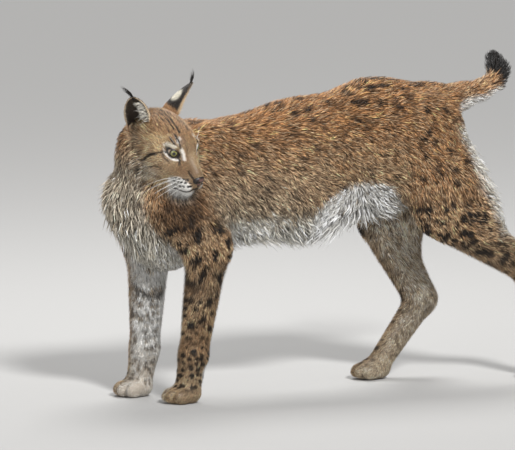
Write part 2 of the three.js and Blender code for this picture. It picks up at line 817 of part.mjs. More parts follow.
function torsoSolid() {
  const net = netIn(LEVEL, [-510, -160, 235], [380, 160, 690], [52, 38, 36]);
  const coated = withLocks(net, [...BELLY_LOCKS, ...coatRows(CHEST)]);
  let torso = behind(coated, NECK_CUT.point, NECK_CUT.normal);
  torso = behind(torso, TAIL_CUT.point, TAIL_CUT.normal).subtract(headRegion(GAP));
  for (const side of [-1, 1]) {
    torso = torso.subtract(forelegRegion(side, GAP)).subtract(hindlegRegion(side, GAP));
  }
  return largest(torso);
}

function tailSolids() {
  const net = netIn(LEVEL, [300, -60, 530], [510, 100, 710], [24, 18, 18]);
  const { point, normal } = TAIL_TIP_CUT;
  const tail = beyond(withLocks(net, coatRows(TAIL_COAT)), TAIL_CUT.point, TAIL_CUT.normal);
  const tip = beyond(withLocks(net, coatRows(TAIL_TUFT)), point, normal);
  return [largest(behind(tail, point, normal)), largest(tip)];
}

function forelegSolids(leg, side) {
  const { ball: foot, elbow } = leg;
  const middle = (foot[0] + elbow[0]) / 2;
  const low = [middle - 120, side > 0 ? 10 : -150, 70];
  const high = [middle + 120, side > 0 ? 150 : -10, 370];
  const fringed = withLocks(netIn(LEVEL, low, high, [21, 21, 36]), coatRows(elbowFringe(leg)));
  const upper = fringed.intersect(forelegRegion(side, 0));
  const footLow = [foot[0] - 88, foot[1] - 60, -16];
  const footHigh = [foot[0] + 70, foot[1] + 60, PASTERN_HEIGHT + 20];
  const lower = netIn(LEVEL, footLow, footHigh, [13.5, 11.5, paw]);
  const joint = [0, 0, PASTERN_HEIGHT];
  const up = [0, 0, 1];
  const floor = [0, 0, 0];
  return [largest(beyond(upper, joint, up)), largest(behind(beyond(lower, floor, up, 0), joint, up))];
}

function hindlegSolids(leg, side) {
  const { hip, knee, hock, ball: foot } = leg;
  const shin = unit(sub(hock, knee));
  const arch = unit(sub(foot, hock));
  const kneeCut = add(knee, mul(shin, 22));
  const hockCut = add(hock, mul(arch, 12));
  const y = side > 0 ? [-20, 160] : [-160, 20];
  const rear = coatRows(breeches(leg, side));
  const thighNet = netIn(LEVEL, [110, y[0], 230], [430, y[1], 640], [36, 31, 33]);
  const coated = withLocks(thighNet, [...rear, ...BELLY_LOCKS]);
  const thigh = behind(coated.intersect(hindlegRegion(side, 0)), kneeCut, shin);
  const shinLow = [Math.min(knee[0], hock[0]) - 90, y[0], hock[2] - 80];
  const shinHigh = [Math.max(knee[0], hock[0]) + 90, y[1], knee[2] + 130];
  const shinNet = withLocks(netIn(LEVEL, shinLow, shinHigh, [25, 23, 25]), rear);
  const shin1 = beyond(shinNet.intersect(hindlegRegion(side, 0)), kneeCut, shin);
  const shank = behind(shin1, hockCut, arch);
  const footLow = [Math.min(foot[0], hock[0]) - 88, foot[1] - 60, -16];
  const footHigh = [Math.max(foot[0], hock[0]) + 72, foot[1] + 60, hock[2] + 60];
  const footNet = beyond(netIn(LEVEL, footLow, footHigh, [16, 12, paw]), [0, 0, 0], [0, 0, 1], 0);
  return [thigh, shank, beyond(footNet, hockCut, arch)].map(largest);
}

// Colours and finish of the coat, the eyes and the nose
const finish = (color, roughness) => new THREE.MeshStandardMaterial({ color, roughness, metalness: 0 });
const TAWNY = finish(0xa88a66, 0.95);
const PALE = finish(0xc9bda8, 0.95);
const DARK = finish(0x2c2825, 0.9);
const FACE = finish(0xb59f80, 0.92);
const IRIS = finish(0x9a8a3c, 0.15);

const lynx = new THREE.Group();

function part(name, solid, material) {
  const mesh = solid.getMesh();
  const geometry = new THREE.BufferGeometry();
  geometry.setAttribute("position", new THREE.BufferAttribute(Float32Array.from(mesh.vertProperties), 3));
  geometry.setIndex(new THREE.BufferAttribute(Uint32Array.from(mesh.triVerts), 1));
  const node = new THREE.Mesh(geometry, material);
  node.name = name;
  lynx.add(node);
}

part("head", headSolid(), FACE);
part("neck", neckSolid(), PALE);
part("torso", torsoSolid(), TAWNY);
const [tailBase, tailTip] = tailSolids();
part("tail", tailBase, TAWNY);
part("tail_tip", tailTip, DARK);
for (const [name, side] of [["left", -1], ["right", 1]]) {
  const [foreleg, forepaw] = forelegSolids(FORELEGS[name], side);
  part(`foreleg_${name}`, foreleg, TAWNY);
  part(`forepaw_${name}`, forepaw, PALE);
  const [thigh, shank, foot] = hindlegSolids(HINDLEGS[name], side);
  part(`thigh_${name}`, thigh, TAWNY);
  part(`shank_${name}`, shank, TAWNY);
  part(`hindfoot_${name}`, foot, PALE);
  part(`ear_${name}`, earOver(EARS[name]), DARK);
  part(`eye_${name}`, eyeBall(-side, EYE_RADIUS), IRIS);
}

// The origin goes to the middle of the whole, on the floor
const bounds = new THREE.Box3().setFromObject(lynx);
lynx.position.set(-(bounds.min.x + bounds.max.x) / 2, -(bounds.min.y + bounds.max.y) / 2, 0);

export default lynx;
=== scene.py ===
# A Eurasian lynx, life size, standing and looking back over its left flank.
# Shapes are worked out in millimetres in the body's own frame: it faces -X, its left is -Y and
# the floor is z = 0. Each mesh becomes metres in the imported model's frame when it is made.
import math

import bpy
import numpy as np
from mathutils import Matrix


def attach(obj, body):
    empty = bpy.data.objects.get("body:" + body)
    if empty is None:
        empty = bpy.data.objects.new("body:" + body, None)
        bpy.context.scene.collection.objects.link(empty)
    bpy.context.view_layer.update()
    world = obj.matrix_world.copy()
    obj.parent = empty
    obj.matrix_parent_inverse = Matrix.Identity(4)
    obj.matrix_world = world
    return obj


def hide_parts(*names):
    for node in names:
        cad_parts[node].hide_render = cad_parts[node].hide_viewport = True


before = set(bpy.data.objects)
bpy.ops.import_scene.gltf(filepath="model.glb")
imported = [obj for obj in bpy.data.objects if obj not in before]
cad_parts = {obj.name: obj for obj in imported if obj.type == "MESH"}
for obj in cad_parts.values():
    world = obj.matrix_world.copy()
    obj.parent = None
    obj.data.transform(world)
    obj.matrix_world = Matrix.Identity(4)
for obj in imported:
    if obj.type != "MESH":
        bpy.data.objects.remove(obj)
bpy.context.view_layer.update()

MM = 0.001
rng = np.random.default_rng(20)

# Driving sizes of the animal
RUMP_HEIGHT = 655
EYE_RADIUS = 13
EYE_SPACING = 59
EAR_LENGTH = 75
EAR_WIDTH = 54
EAR_TUFT = 33
HEAD_TURN = 110
HEAD_DOWN = 25
HEAD_TILT = 6

FORELEGS = {
    "left": [(-258, -42, 540), (-362, -72, 425), (-290, -84, 325), (-322, -78, 100), (-336, -77, 24)],
    "right": [(-266, 42, 540), (-388, 64, 415), (-350, 70, 310), (-362, 66, 100), (-376, 66, 24)],
}
HINDLEGS = {
    "left": [(240, -52, 525), (264, -80, 364), (478, -78, 238), (520, -78, 26)],
    "right": [(232, 52, 525), (208, 78, 335), (305, 74, 165), (196, 72, 26)],
}
# Length and half width of the paws
FORE_PAW = (50, 39)
HIND_PAW = (52, 37)
TAIL = [(296, 0, 585), (360, 1, 602), (415, 6, 612), (454, 20, 626), (472, 42, 648), (471, 60, 670)]
TAIL_RADII = [46, 30, 24, 23, 27, 20]
HEAD_CENTRE = np.array((-388.0, -85.0, 560.0))
EYE = np.array((49, EYE_SPACING / 2, 4))
EYE_SLANT = 0.46
SOCKET_AHEAD = 15
SOCKET_RADIUS = 9
LID_HALF_LENGTH = 13.5
LID_RISE = 6.2
LID_DROP = 8.4


def unit(v):
    v = np.asarray(v, float)
    return v / np.maximum(np.linalg.norm(v, axis=-1, keepdims=True), 1e-9)


def ramp(x, low, high):
    """0 below low, 1 above high, smooth between; falls instead where low is above high."""
    t = np.clip((x - low) / (high - low), 0, 1)
    return t * t * (3 - 2 * t)


def mixed(value, *layers):
    """A colour or direction under layers of others, each followed by its share from 0 to 1."""
    value = np.asarray(value)
    for other, share in zip(layers[::2], layers[1::2]):
        t = np.expand_dims(np.clip(share, 0, 1), -1)
        value = value * (1 - t) + np.asarray(other) * t
    return value


def turned(v, axis, angle):
    c, s = math.cos(angle), math.sin(angle)
    return v * c + np.cross(axis, v) * s + axis * np.dot(axis, v) * (1 - c)


def head_axes():
    """The head's forward, left and up."""
    heading = math.radians(180 + HEAD_TURN)
    level = np.array((math.cos(heading), math.sin(heading), 0))
    up = np.array((0.0, 0.0, 1.0))
    left = np.cross(up, level)
    forward = turned(level, left, math.radians(HEAD_DOWN))
    up = turned(up, left, math.radians(HEAD_DOWN))
    tilt = math.radians(HEAD_TILT)
    return np.array((forward, turned(left, forward, tilt), turned(up, forward, tilt)))


HEAD_AXES = head_axes()
GAZE = unit((0.8, 0.58, 0.1))


def to_head(p):
    return (p - HEAD_CENTRE) @ HEAD_AXES.T


def to_half_head(p):
    """Places in the head's frame, all taken to its left side."""
    q = to_head(p)
    q[:, 1] = np.abs(q[:, 1])
    return q


def from_head(q):
    return HEAD_CENTRE + np.asarray(q, float) @ HEAD_AXES


def head_direction(q):
    return np.asarray(q, float) @ HEAD_AXES


# Fields: negative inside, in millimetres from the surface at the coat's tips
def join(a, b, soft):
    h = np.clip(0.5 + 0.5 * (b - a) / soft, 0, 1)
    return b * (1 - h) + a * h - soft * h * (1 - h)


def from_line(p, start, end):
    """Each place's nearest point on a line, as a share of its length, and the way from there to the place."""
    along = np.subtract(end, start).astype(p.dtype)
    v = p - np.asarray(start, p.dtype)
    t = np.clip(v @ along / (along @ along), 0, 1)
    return t, v - t[:, None] * along


def bone(p, start, end, start_radius, end_radius, flat=1.0):
    t, off = from_line(p, start, end)
    off[:, 1] /= flat
    return np.sqrt((off * off).sum(1)) - (start_radius + (end_radius - start_radius) * t)


def egg(p, centre, radii):
    q = (p - np.asarray(centre, p.dtype)) / np.asarray(radii, p.dtype)
    near = np.sqrt((q * q).sum(1))
    q /= np.asarray(radii, p.dtype)
    far = np.sqrt((q * q).sum(1))
    return near * (near - 1) / np.maximum(far, 1e-9)


HEAD_SHAPES = [
    (egg, (20, 0, 6), (52, 46, 42), 24),
    (egg, (50, 24, 16), (14, 17, 9), 12),
    (egg, (4, 38, -40), (50, 32, 46), 26),
    (egg, (30, 38, -24), (26, 18, 19), 18),
    (egg, (46, 22, -32), (30, 24, 24), 18),
    (bone, (44, 0, 6), (102, 0, -26), 24, 13, 0.95, 16),
    (bone, (46, 0, -40), (88, 0, -46), 38, 25, 0.95, 18),
    (egg, (86, 15, -54), (26, 16, 18), 8),
    (egg, (107, 0, -50), (9, 9, 10), 6),
    (egg, (81, 0, -74), (24, 17, 17), 7),
    (bone, (-5, 26, -70), (64, 10, -72), 26, 16, 1, 18),
    (egg, (110, 0, -34), (10, 12, 9), 5),
]


def head_field(p):
    q = to_half_head(p).astype(p.dtype)
    d = egg(q, (-24, 0, 0), (66, 58, 54))
    for shape, *sizes, soft in HEAD_SHAPES:
        d = join(d, shape(q, *sizes), soft)
    socket = np.linalg.norm(q - (EYE + GAZE * SOCKET_AHEAD).astype(p.dtype), axis=1) - SOCKET_RADIUS
    return -join(-d, socket, 8)


def trunk_field(p):
    d = bone(p, (-250, 0, 450), (-40, 0, 470), 132, 142, 0.68)
    d = join(d, bone(p, (-40, 0, 470), (160, 0, 510), 142, 138, 0.62), 40)
    d = join(d, bone(p, (160, 0, 518), (262, 0, RUMP_HEIGHT - 105), 134, 88, 0.7), 40)
    d = join(d, bone(p, (-378, 0, 405), (-300, 0, 420), 92, 118, 0.85), 50)
    d = join(d, bone(p, (-386, 6, 440), (-400, -30, 532), 80, 62), 40)
    d = join(d, bone(p, (-320, 0, 495), (-400, -24, 532), 84, 62), 40)
    return join(d, egg(p, (-345, 0, 330), (70, 52, 62)), 40)


def paw_field(p, ball, length, half_width):
    ball = np.asarray(ball, float)
    d = egg(p, ball + (-6, 0, -4), (length * 0.72, half_width * 0.9, 25))
    for spread in (-1.5, -0.5, 0.5, 1.5):
        reach = length * (0.72 if abs(spread) < 1 else 0.5)
        toe = ball + (-reach, spread * half_width * 0.46, -8)
        d = join(d, egg(p, toe, (length * 0.42, half_width * 0.3, 17)), 5)
    return d


def fore_field(p, joints):
    blade, shoulder, elbow, wrist, ball = joints
    d = bone(p, blade, shoulder, 44, 62, 0.62)
    d = join(d, bone(p, shoulder, elbow, 66, 54, 0.72), 30)
    d = join(d, bone(p, elbow, wrist, 50, 33, 0.85), 20)
    d = join(d, bone(p, wrist, ball, 33, 28), 14)
    return join(d, paw_field(p, ball, *FORE_PAW), 8)


def hind_field(p, joints):
    hip, knee, hock, ball = [np.asarray(joint, float) for joint in joints]
    stifle = hip * 0.35 + knee * 0.65 + (12, 0, 0)
    calf = (knee + hock) / 2 + (0, 0, 40)
    d = bone(p, hip, stifle, 96, 82, 0.52)
    d = join(d, bone(p, hip + (40, 0, -10), calf, 60, 50, 0.6), 30)
    d = join(d, bone(p, knee, hock, 54, 38, 0.75), 26)
    d = join(d, bone(p, hock, ball, 34, 26, 0.85), 16)
    return join(d, paw_field(p, ball, *HIND_PAW), 8)


def tail_field(p):
    d = bone(p, TAIL[0], TAIL[1], TAIL_RADII[0], TAIL_RADII[1])
    for i in range(1, len(TAIL) - 1):
        d = join(d, bone(p, TAIL[i], TAIL[i + 1], TAIL_RADII[i], TAIL_RADII[i + 1]), 12)
    return d


PARTS = ("trunk", "head", "fore_left", "fore_right", "hind_left", "hind_right", "tail")
OUT_OF_REACH = 200.0


def nearby(field, p, points, margin, *sizes):
    """A part's field near its points, and a large value elsewhere."""
    low, high = np.min(points, axis=0) - margin, np.max(points, axis=0) + margin
    near = ((p > low) & (p < high)).all(1)
    d = np.full(len(p), OUT_OF_REACH, p.dtype)
    d[near] = field(p[near], *sizes)
    return d


def part_fields(p):
    """The distance from each part, in the order of PARTS."""
    fields = [trunk_field(p), nearby(head_field, p, [HEAD_CENTRE], 235)]
    fields += [nearby(fore_field, p, leg, 165, leg) for leg in FORELEGS.values()]
    fields += [nearby(hind_field, p, leg, 190, leg) for leg in HINDLEGS.values()]
    return fields + [nearby(tail_field, p, TAIL, 140)]


PART_SOFTNESS = (22, 30, 30, 34, 34, 26)


def coat_field(fields):
    d = fields[0]
    for field, soft in zip(fields[1:], PART_SOFTNESS):
        d = join(d, field, soft)
    return d


PART_BLEND = 12


def part_weights(fields):
    """How much each part owns a place, adding up to 1."""
    d = np.stack(fields)
    w = np.exp(-np.clip(d - d.min(0), 0, 150) / PART_BLEND)
    return w / w.sum(0)


def bump(p, at, radii):
    """1 near a place, falling smoothly to 0 at the radii round it."""
    far = (p - np.asarray(at, p.dtype)) / np.asarray(radii, p.dtype)
    return ramp(np.sqrt((far * far).sum(1)), 1.0, 0.35)


def smooth_path(points, count):
    """Points along a smooth curve through a few points."""
    points = np.asarray(points, float)
    ends = np.vstack([2 * points[0] - points[1], points, 2 * points[-1] - points[-2]])
    path = []
    for t in np.linspace(0, len(points) - 1 - 1e-6, count):
        i, s = int(t), t - int(t)
        a, b, c, d = ends[i : i + 4]
        bend = (c - a) * s + (2 * a - 5 * b + 4 * c - d) * s**2 + (3 * b - a - 3 * c + d) * s**3
        path.append(b + 0.5 * bend)
    return np.array(path)


def face_length(p):
    """Hair length over the head: shortest at the nose, longest in the ruff."""
    q = to_half_head(p)
    lengths = [
        np.interp(q[:, 0], (-60, -10, 30, 60, 85, 110), (13, 9, 6.5, 3.8, 3.0, 2.4)),
        26 * bump(q, (-22, 70, -62), (62, 52, 60)),
        16 * bump(q, (4, 20, -92), (60, 60, 34)),
        5.5 * bump(q, (78, 0, -90), (30, 22, 14)),
    ]
    return np.max(lengths, axis=0)


def coat_length(p, weights):
    """Hair length in millimetres at each place."""
    z = p[:, 2]
    trunk = 24 + 16 * bump(p, (-20, 0, 325), (330, 130, 90))
    trunk = trunk + 14 * bump(p, (-430, 0, 400), (110, 130, 120))
    trunk = trunk + 26 * bump(p, (105, 0, 368), (130, 120, 66))
    leg = np.interp(z, (0, 40, 120, 260, 400, 520), (5, 7, 10, 15, 21, 24))
    leg = leg + 16 * bump(p, (372, 0, 450), (90, 180, 130)) + 12 * bump(p, (-296, 0, 66), (24, 130, 30))
    tail = np.full(len(p), 22.0) + 5 * ramp(p[:, 0], 430, 455)
    lengths = [trunk, face_length(p), leg, leg, leg, leg, tail]
    return sum(w * length for w, length in zip(weights, lengths))


COAT_LIFT = 0.46
DEEPEST_SKIN = 12.5


def skin_depth(length):
    return np.clip(COAT_LIFT * length, 1.2, DEEPEST_SKIN)


def skin_field(p):
    fields = part_fields(p)
    return coat_field(fields) + skin_depth(coat_length(p, part_weights(fields))).astype(p.dtype)


TETRAHEDRON = np.array(((1, -1, -1), (-1, -1, 1), (-1, 1, -1), (1, 1, 1)), np.float32)


def slope(p, field=skin_field, step=1.0):
    """The field's gradient."""
    total = np.zeros_like(p)
    for corner in TETRAHEDRON:
        total += field(p + corner * step)[:, None] * corner
    return total / (4 * step)


def settle(p, height=0.0, field=skin_field, rounds=2, furthest=np.inf, least_slope=0.2):
    """Places moved to a height over the skin, in each round by about the furthest at most."""
    p = np.asarray(p, np.float32)
    for _ in range(rounds):
        g = slope(p, field)
        short = np.clip(height - field(p), -furthest, furthest)
        p = p + g * (short / np.maximum((g * g).sum(1), least_slope))[:, None]
    return p


def grid_lines(low, high, fine_low, fine_high, coarse, fine, block=4):
    """Lines with a fine spacing between two places and a coarse one outside them."""
    lines = [low]
    while lines[-1] < high or (len(lines) - 1) % block:
        step = fine if fine_low <= lines[-1] < fine_high else coarse
        lines.append(lines[-1] + step)
    return np.array(lines, np.float32)


def evaluate_near(field, lines, block=4, steepness=1.8):
    """A field on a grid: exact near its surface, and only its sign elsewhere."""
    middles = [(line[:-1:block] + line[block::block]) / 2 for line in lines]
    halves = [(line[block::block] - line[:-1:block]) / 2 for line in lines]
    centres = np.stack(np.meshgrid(*middles, indexing="ij"), -1).reshape(-1, 3)
    reach = np.linalg.norm(np.stack(np.meshgrid(*halves, indexing="ij"), -1), axis=-1)
    rough = field(centres.astype(np.float32)).reshape(reach.shape)
    near = np.abs(rough) < steepness * reach
    for axis in range(3):
        rough = np.repeat(rough, block, axis)
        near = np.repeat(near, block, axis)
    rough = np.pad(rough, (0, 1), mode="edge")
    near = np.pad(near, (0, 1), mode="edge")
    for axis in range(3):
        near |= np.roll(near, 1, axis)
    where = np.argwhere(near)
    places = np.stack([line[where[:, axis]] for axis, line in enumerate(lines)], 1)
    value = np.sign(rough).astype(np.float32) * 50
    value[tuple(where.T)] = field(places)
    return value


CORNERS = [(i, j, k) for i in (0, 1) for j in (0, 1) for k in (0, 1)]
CELL_EDGES = [(a, b) for a in range(8) for b in range(a + 1, 8) if bin(a ^ b).count("1") == 1]


def net(field, lines, rounds=2):
    """Places and quads of a field's surface, one place in each grid cell that it crosses."""
    value = evaluate_near(field, lines)
    inside = value < 0
    sizes = [n - 1 for n in value.shape]
    part = [value[i : i + sizes[0], j : j + sizes[1], k : k + sizes[2]] for i, j, k in CORNERS]
    count = sum((corner < 0).astype(np.int8) for corner in part)
    cells = np.argwhere((count > 0) & (count < 8))
    ids = np.full(sizes, -1, np.int64)
    ids[tuple(cells.T)] = np.arange(len(cells))
    corner_value = [corner[tuple(cells.T)] for corner in part]
    corner_place = [
        np.stack([lines[axis][cells[:, axis] + corner[axis]] for axis in range(3)], 1) for corner in CORNERS
    ]
    total = np.zeros((len(cells), 3), np.float32)
    crossings = np.zeros(len(cells), np.float32)
    for a, b in CELL_EDGES:
        crossed = (corner_value[a] < 0) != (corner_value[b] < 0)
        t = np.where(crossed, corner_value[a] / (corner_value[a] - corner_value[b] + 1e-12), 0)
        point = corner_place[a] + (corner_place[b] - corner_place[a]) * t[:, None]
        total += point * crossed[:, None]
        crossings += crossed
    places = total / crossings[:, None]
    quads = []
    for axis in range(3):
        u, v = (axis + 1) % 3, (axis + 2) % 3
        first = np.take(inside, range(sizes[axis]), axis)
        second = np.take(inside, range(1, sizes[axis] + 1), axis)
        for leaving, sign in ((first & ~second, 1), (second & ~first, -1)):
            at = np.argwhere(leaving)
            at = at[(at[:, u] > 0) & (at[:, v] > 0) & (at[:, u] < sizes[u]) & (at[:, v] < sizes[v])]
            ring = []
            for du, dv in ((1, 1), (0, 1), (0, 0), (1, 0)):
                cell = at.copy()
                cell[:, u] -= du
                cell[:, v] -= dv
                ring.append(ids[tuple(cell.T)])
            quads.append(np.stack(ring[::sign], 1))
    return settle(places, 0, field, rounds), np.concatenate(quads)


# Noise and spots, worked out from whole-number places
NEIGHBOURS = [(i, j, k) for i in (-1, 0, 1) for j in (-1, 0, 1) for k in (-1, 0, 1)]


def scrambled(cell, seed):
    """A random number from 0 to 1 for each whole-number place."""
    n = cell[..., 0] * 73856093 ^ cell[..., 1] * 19349663 ^ cell[..., 2] * 83492791 ^ (seed * 2654435761)
    n = (n ^ (n >> 13)) * 1274126177 & 0x7FFFFFFF
    n = (n ^ (n >> 15)) * 2246822519 & 0x7FFFFFFF
    return ((n >> 7) & 0xFFFF) / 65535.0


def jitter(cell, *seeds):
    return np.stack([scrambled(cell, seed) for seed in seeds], -1)


def noise(p, cell_size, seed):
    """Smooth noise from 0 to 1."""
    q = np.asarray(p, float) / cell_size
    base = np.floor(q).astype(np.int64)
    f = q - base
    f = f * f * (3 - 2 * f)
    total = 0
    for corner in CORNERS:
        weight = np.prod(np.where(corner, f, 1 - f), axis=1)
        total = total + weight * scrambled(base + corner, seed)
    return total


def spots(p, cell_size, radius, seed, share=0.8, soft=0.35):
    """Round spots at jittered places: 1 inside, 0 outside."""
    q = np.asarray(p, float) / cell_size
    base = np.floor(q).astype(np.int64)
    best = np.zeros(len(q))
    for step in NEIGHBOURS:
        cell = base + step
        size = radius * (0.65 + 0.6 * scrambled(cell, seed + 50)) / cell_size
        size = size * (scrambled(cell, seed + 60) < share)
        middle = cell + 0.15 + 0.7 * jitter(cell, seed + 10, seed + 20, seed + 30)
        far = np.linalg.norm(q - middle, axis=-1)
        best = np.maximum(best, ramp(far, size + 1e-6, size * (1 - soft)))
    return best


# Colours of the coat, linear
TAWNY = np.array((0.44, 0.235, 0.105))
RUFOUS = np.array((0.50, 0.235, 0.088))
SANDY = np.array((0.58, 0.42, 0.26))
GREY = np.array((0.46, 0.43, 0.35))
CREAM = np.array((0.76, 0.70, 0.57))
WHITE = np.array((0.88, 0.86, 0.81))
DARK = np.array((0.012, 0.009, 0.007))
BROWN = np.array((0.075, 0.042, 0.022))
HONEY = np.array((0.76, 0.50, 0.275))
STRAW = np.array((0.80, 0.61, 0.39))
BRIGHTEST = 0.92


def stroke(q, points, width, fade=0.5):
    """1 along a line through points, 0 beyond its half width."""
    far = [np.linalg.norm(from_line(q, a, b)[1], axis=1) for a, b in zip(points[:-1], points[1:])]
    return ramp(np.min(far, axis=0), width, width * fade)


# Mirrors places of the head's left side to its right, which is clear of the neck
OPEN_SIDE = (1, -1, 1)


def on_skin(points, spacing=3.5):
    """A smooth line through points of the head's frame, laid on the skin of the side clear of the neck."""
    reach = np.linalg.norm(np.diff(np.array(points, float), axis=0), axis=1).sum()
    line = smooth_path(points, max(3, int(reach / spacing))) * OPEN_SIDE
    return to_head(settle(from_head(line), 0, rounds=4)) * OPEN_SIDE


# Marks of the face as lines in the head's frame, each with its half width and strength
FACE_LINES = [
    ([(-34, 2, 51), (-12, 4, 50), (10, 7, 49), (32, 11, 44), (42, 13, 39)], 2.86, 1.0),
    ([(-26, 10, 51), (-6, 13, 50), (14, 15, 47), (30, 18, 42)], 2.53, 0.95),
    ([(-20, 19, 49), (2, 23, 47), (20, 27, 42), (28, 30, 37)], 2.42, 0.85),
    ([(-14, 29, 45), (4, 35, 41), (16, 39, 36)], 2.2, 0.7),
    ([(36, 34, 29), (44, 34, 26), (53, 33, 22)], 2.86, 1.0),
    ([(40, 23, 36), (51, 24, 29), (63, 26, 20)], 3.08, 1.0),
    ([(50, 8, 35), (62, 11, 22), (72, 11, 9)], 2.42, 0.45),
    ([(46, 43, 3), (38, 50, -3), (28, 57, -10)], 2.86, 1.0),
    ([(28, 57, -10), (18, 61, -17), (11, 63, -28)], 4.18, 1.0),
    ([(11, 63, -28), (3, 62, -39)], 2.86, 0.9),
    ([(53, 51, -32), (41, 58, -30), (30, 61, -36), (19, 63, -44)], 1.87, 0.85),
    ([(48, 45, -56), (36, 54, -55), (20, 60, -59), (6, 58, -70)], 2.42, 0.6),
    ([(94, 17, -22), (104, 15, -29), (113, 11, -35)], 2.86, 0.95),
]
FACE_MARKS = [(on_skin(points), width, strength) for points, width, strength in FACE_LINES]
CHEEK_BAND = on_skin([(0, 60, -54), (-12, 58, -74), (-24, 56, -94), (-24, 56, -112)])
WHISKER_ROWS = [
    [(104, 18, -38), (92, 25, -41), (80, 28, -45), (67, 31, -49)],
    [(107, 16, -44), (96, 24, -47), (84, 28, -51), (70, 30, -55)],
    [(109, 14, -50), (98, 22, -54), (86, 26, -58), (74, 28, -61)],
]
ROW_LINES = [on_skin(row) for row in WHISKER_ROWS]
ROW_DOTS = 8.2
MOUTH = [(113, 2, -57), (109, 8, -63), (101, 17, -69), (88, 24, -73), (75, 28, -73)]
MOUTH_LINE = on_skin(MOUTH)


def eye_axes(hand):
    """Across, up and out of an eye in the head's frame; hand is 1 on the left and -1 on the right."""
    look = GAZE * (1, hand, 1)
    across = unit(np.cross((0, -EYE_SLANT * hand, 1), look))
    return np.array((across, np.cross(look, across), look))


def round_the_eye(q, colour):
    """A black rim with a tear mark, and white beneath, before and above the eye."""
    x, y, out = ((q - EYE) @ eye_axes(1).T).T
    at = np.stack([x, y], 1)
    r = np.hypot(x / LID_HALF_LENGTH, y / np.where(y > 0, LID_RISE, LID_DROP))
    outward = ramp(out, -20, -8)
    above = stroke(at, [(20, 1), (13, 11), (4, 13)], 5.0, 0.3)
    beneath = ramp(r, 1.3, 1.45) * ramp(r, 1.92, 1.65) * ramp(y - 0.1 * x, 0.0, -4.0) * ramp(x, 21, 15)
    white = [
        0.85 * beneath,
        0.85 * stroke(at, [(-11, 15), (-20, 8), (-27, 0)], 4.6, 0.4),
        0.7 * stroke(at, [(4, 22), (1, 31)], 2.8, 0.3),
    ]
    dark = [
        ramp(r, 1.5, 1.2),
        stroke(at, [(-13, -2), (-21, -7), (-24, -15)], 2.6),
        0.8 * stroke(at, [(18, -14), (9, -19), (-2, -20)], 1.8),
    ]
    return mixed(
        colour,
        CREAM, 0.9 * above * outward,
        WHITE, np.max(white, axis=0) * outward,
        DARK, np.max(dark, axis=0) * outward,
    )


def face_colour(p):
    """Markings of the head, in its own frame."""
    clear = ramp(to_head(p)[:, 1], 84, 62)
    q = to_half_head(p)
    f, l, w = q.T
    fur = mixed(
        TAWNY,
        HONEY, 0.45 + 0.55 * noise(p, 22, 3),
        TAWNY, 0.8 * ramp(w, 16, 38),
        RUFOUS, 0.5 * bump(q, (78, 14, -16), (46, 26, 30)),
        HONEY, 0.8 * bump(q, (84, 0, -6), (36, 15, 30)),
        GREY, 0.6 * ramp(f, 0, -40) * ramp(w, 20, -20),
        CREAM, 0.45 * bump(q, (14, 60, -52), (60, 34, 30)) * clear,
        WHITE, 0.97 * ramp(bump(q, (88, 24, -57), (38, 24, 22)), 0.05, 0.5),
        WHITE, ramp(w, -62, -74) * ramp(f, 52, 70),
        mixed(CREAM, WHITE, 0.6), 0.6 * bump(q, (-12, 74, -88), (58, 44, 48)) * clear,
    )
    wavy = q + (noise(p, 9, 5)[:, None] - 0.5) * (0, 3, 3)
    unbroken = 1 - ramp(w, 30, 36) * (1 - ramp(noise(q, 8, 61), 0.18, 0.34))
    dots = ramp(np.sin(f * 2 * np.pi / ROW_DOTS), -0.85, -0.4)
    streaky = ramp(noise(q * (0.5, 1, 0.5), 6, 7), 0.35, 0.6)
    temple = ramp(f, 44, 20) * ramp(w, -22, 0) * ramp(l, 30, 40)
    marks = [strength * stroke(wavy, line, width) * unbroken for line, width, strength in FACE_MARKS]
    marks += [stroke(q, row, 2.3, 0.7) * dots for row in ROW_LINES]
    marks.append(stroke(q, MOUTH_LINE, 4.2, 0.6))
    marks.append(0.9 * stroke(wavy, CHEEK_BAND, 14, 0.5) * streaky)
    marks.append(0.6 * spots(p, 11, 2.6, 90) * temple)
    return mixed(round_the_eye(q, fur), DARK, np.max(marks, axis=0))


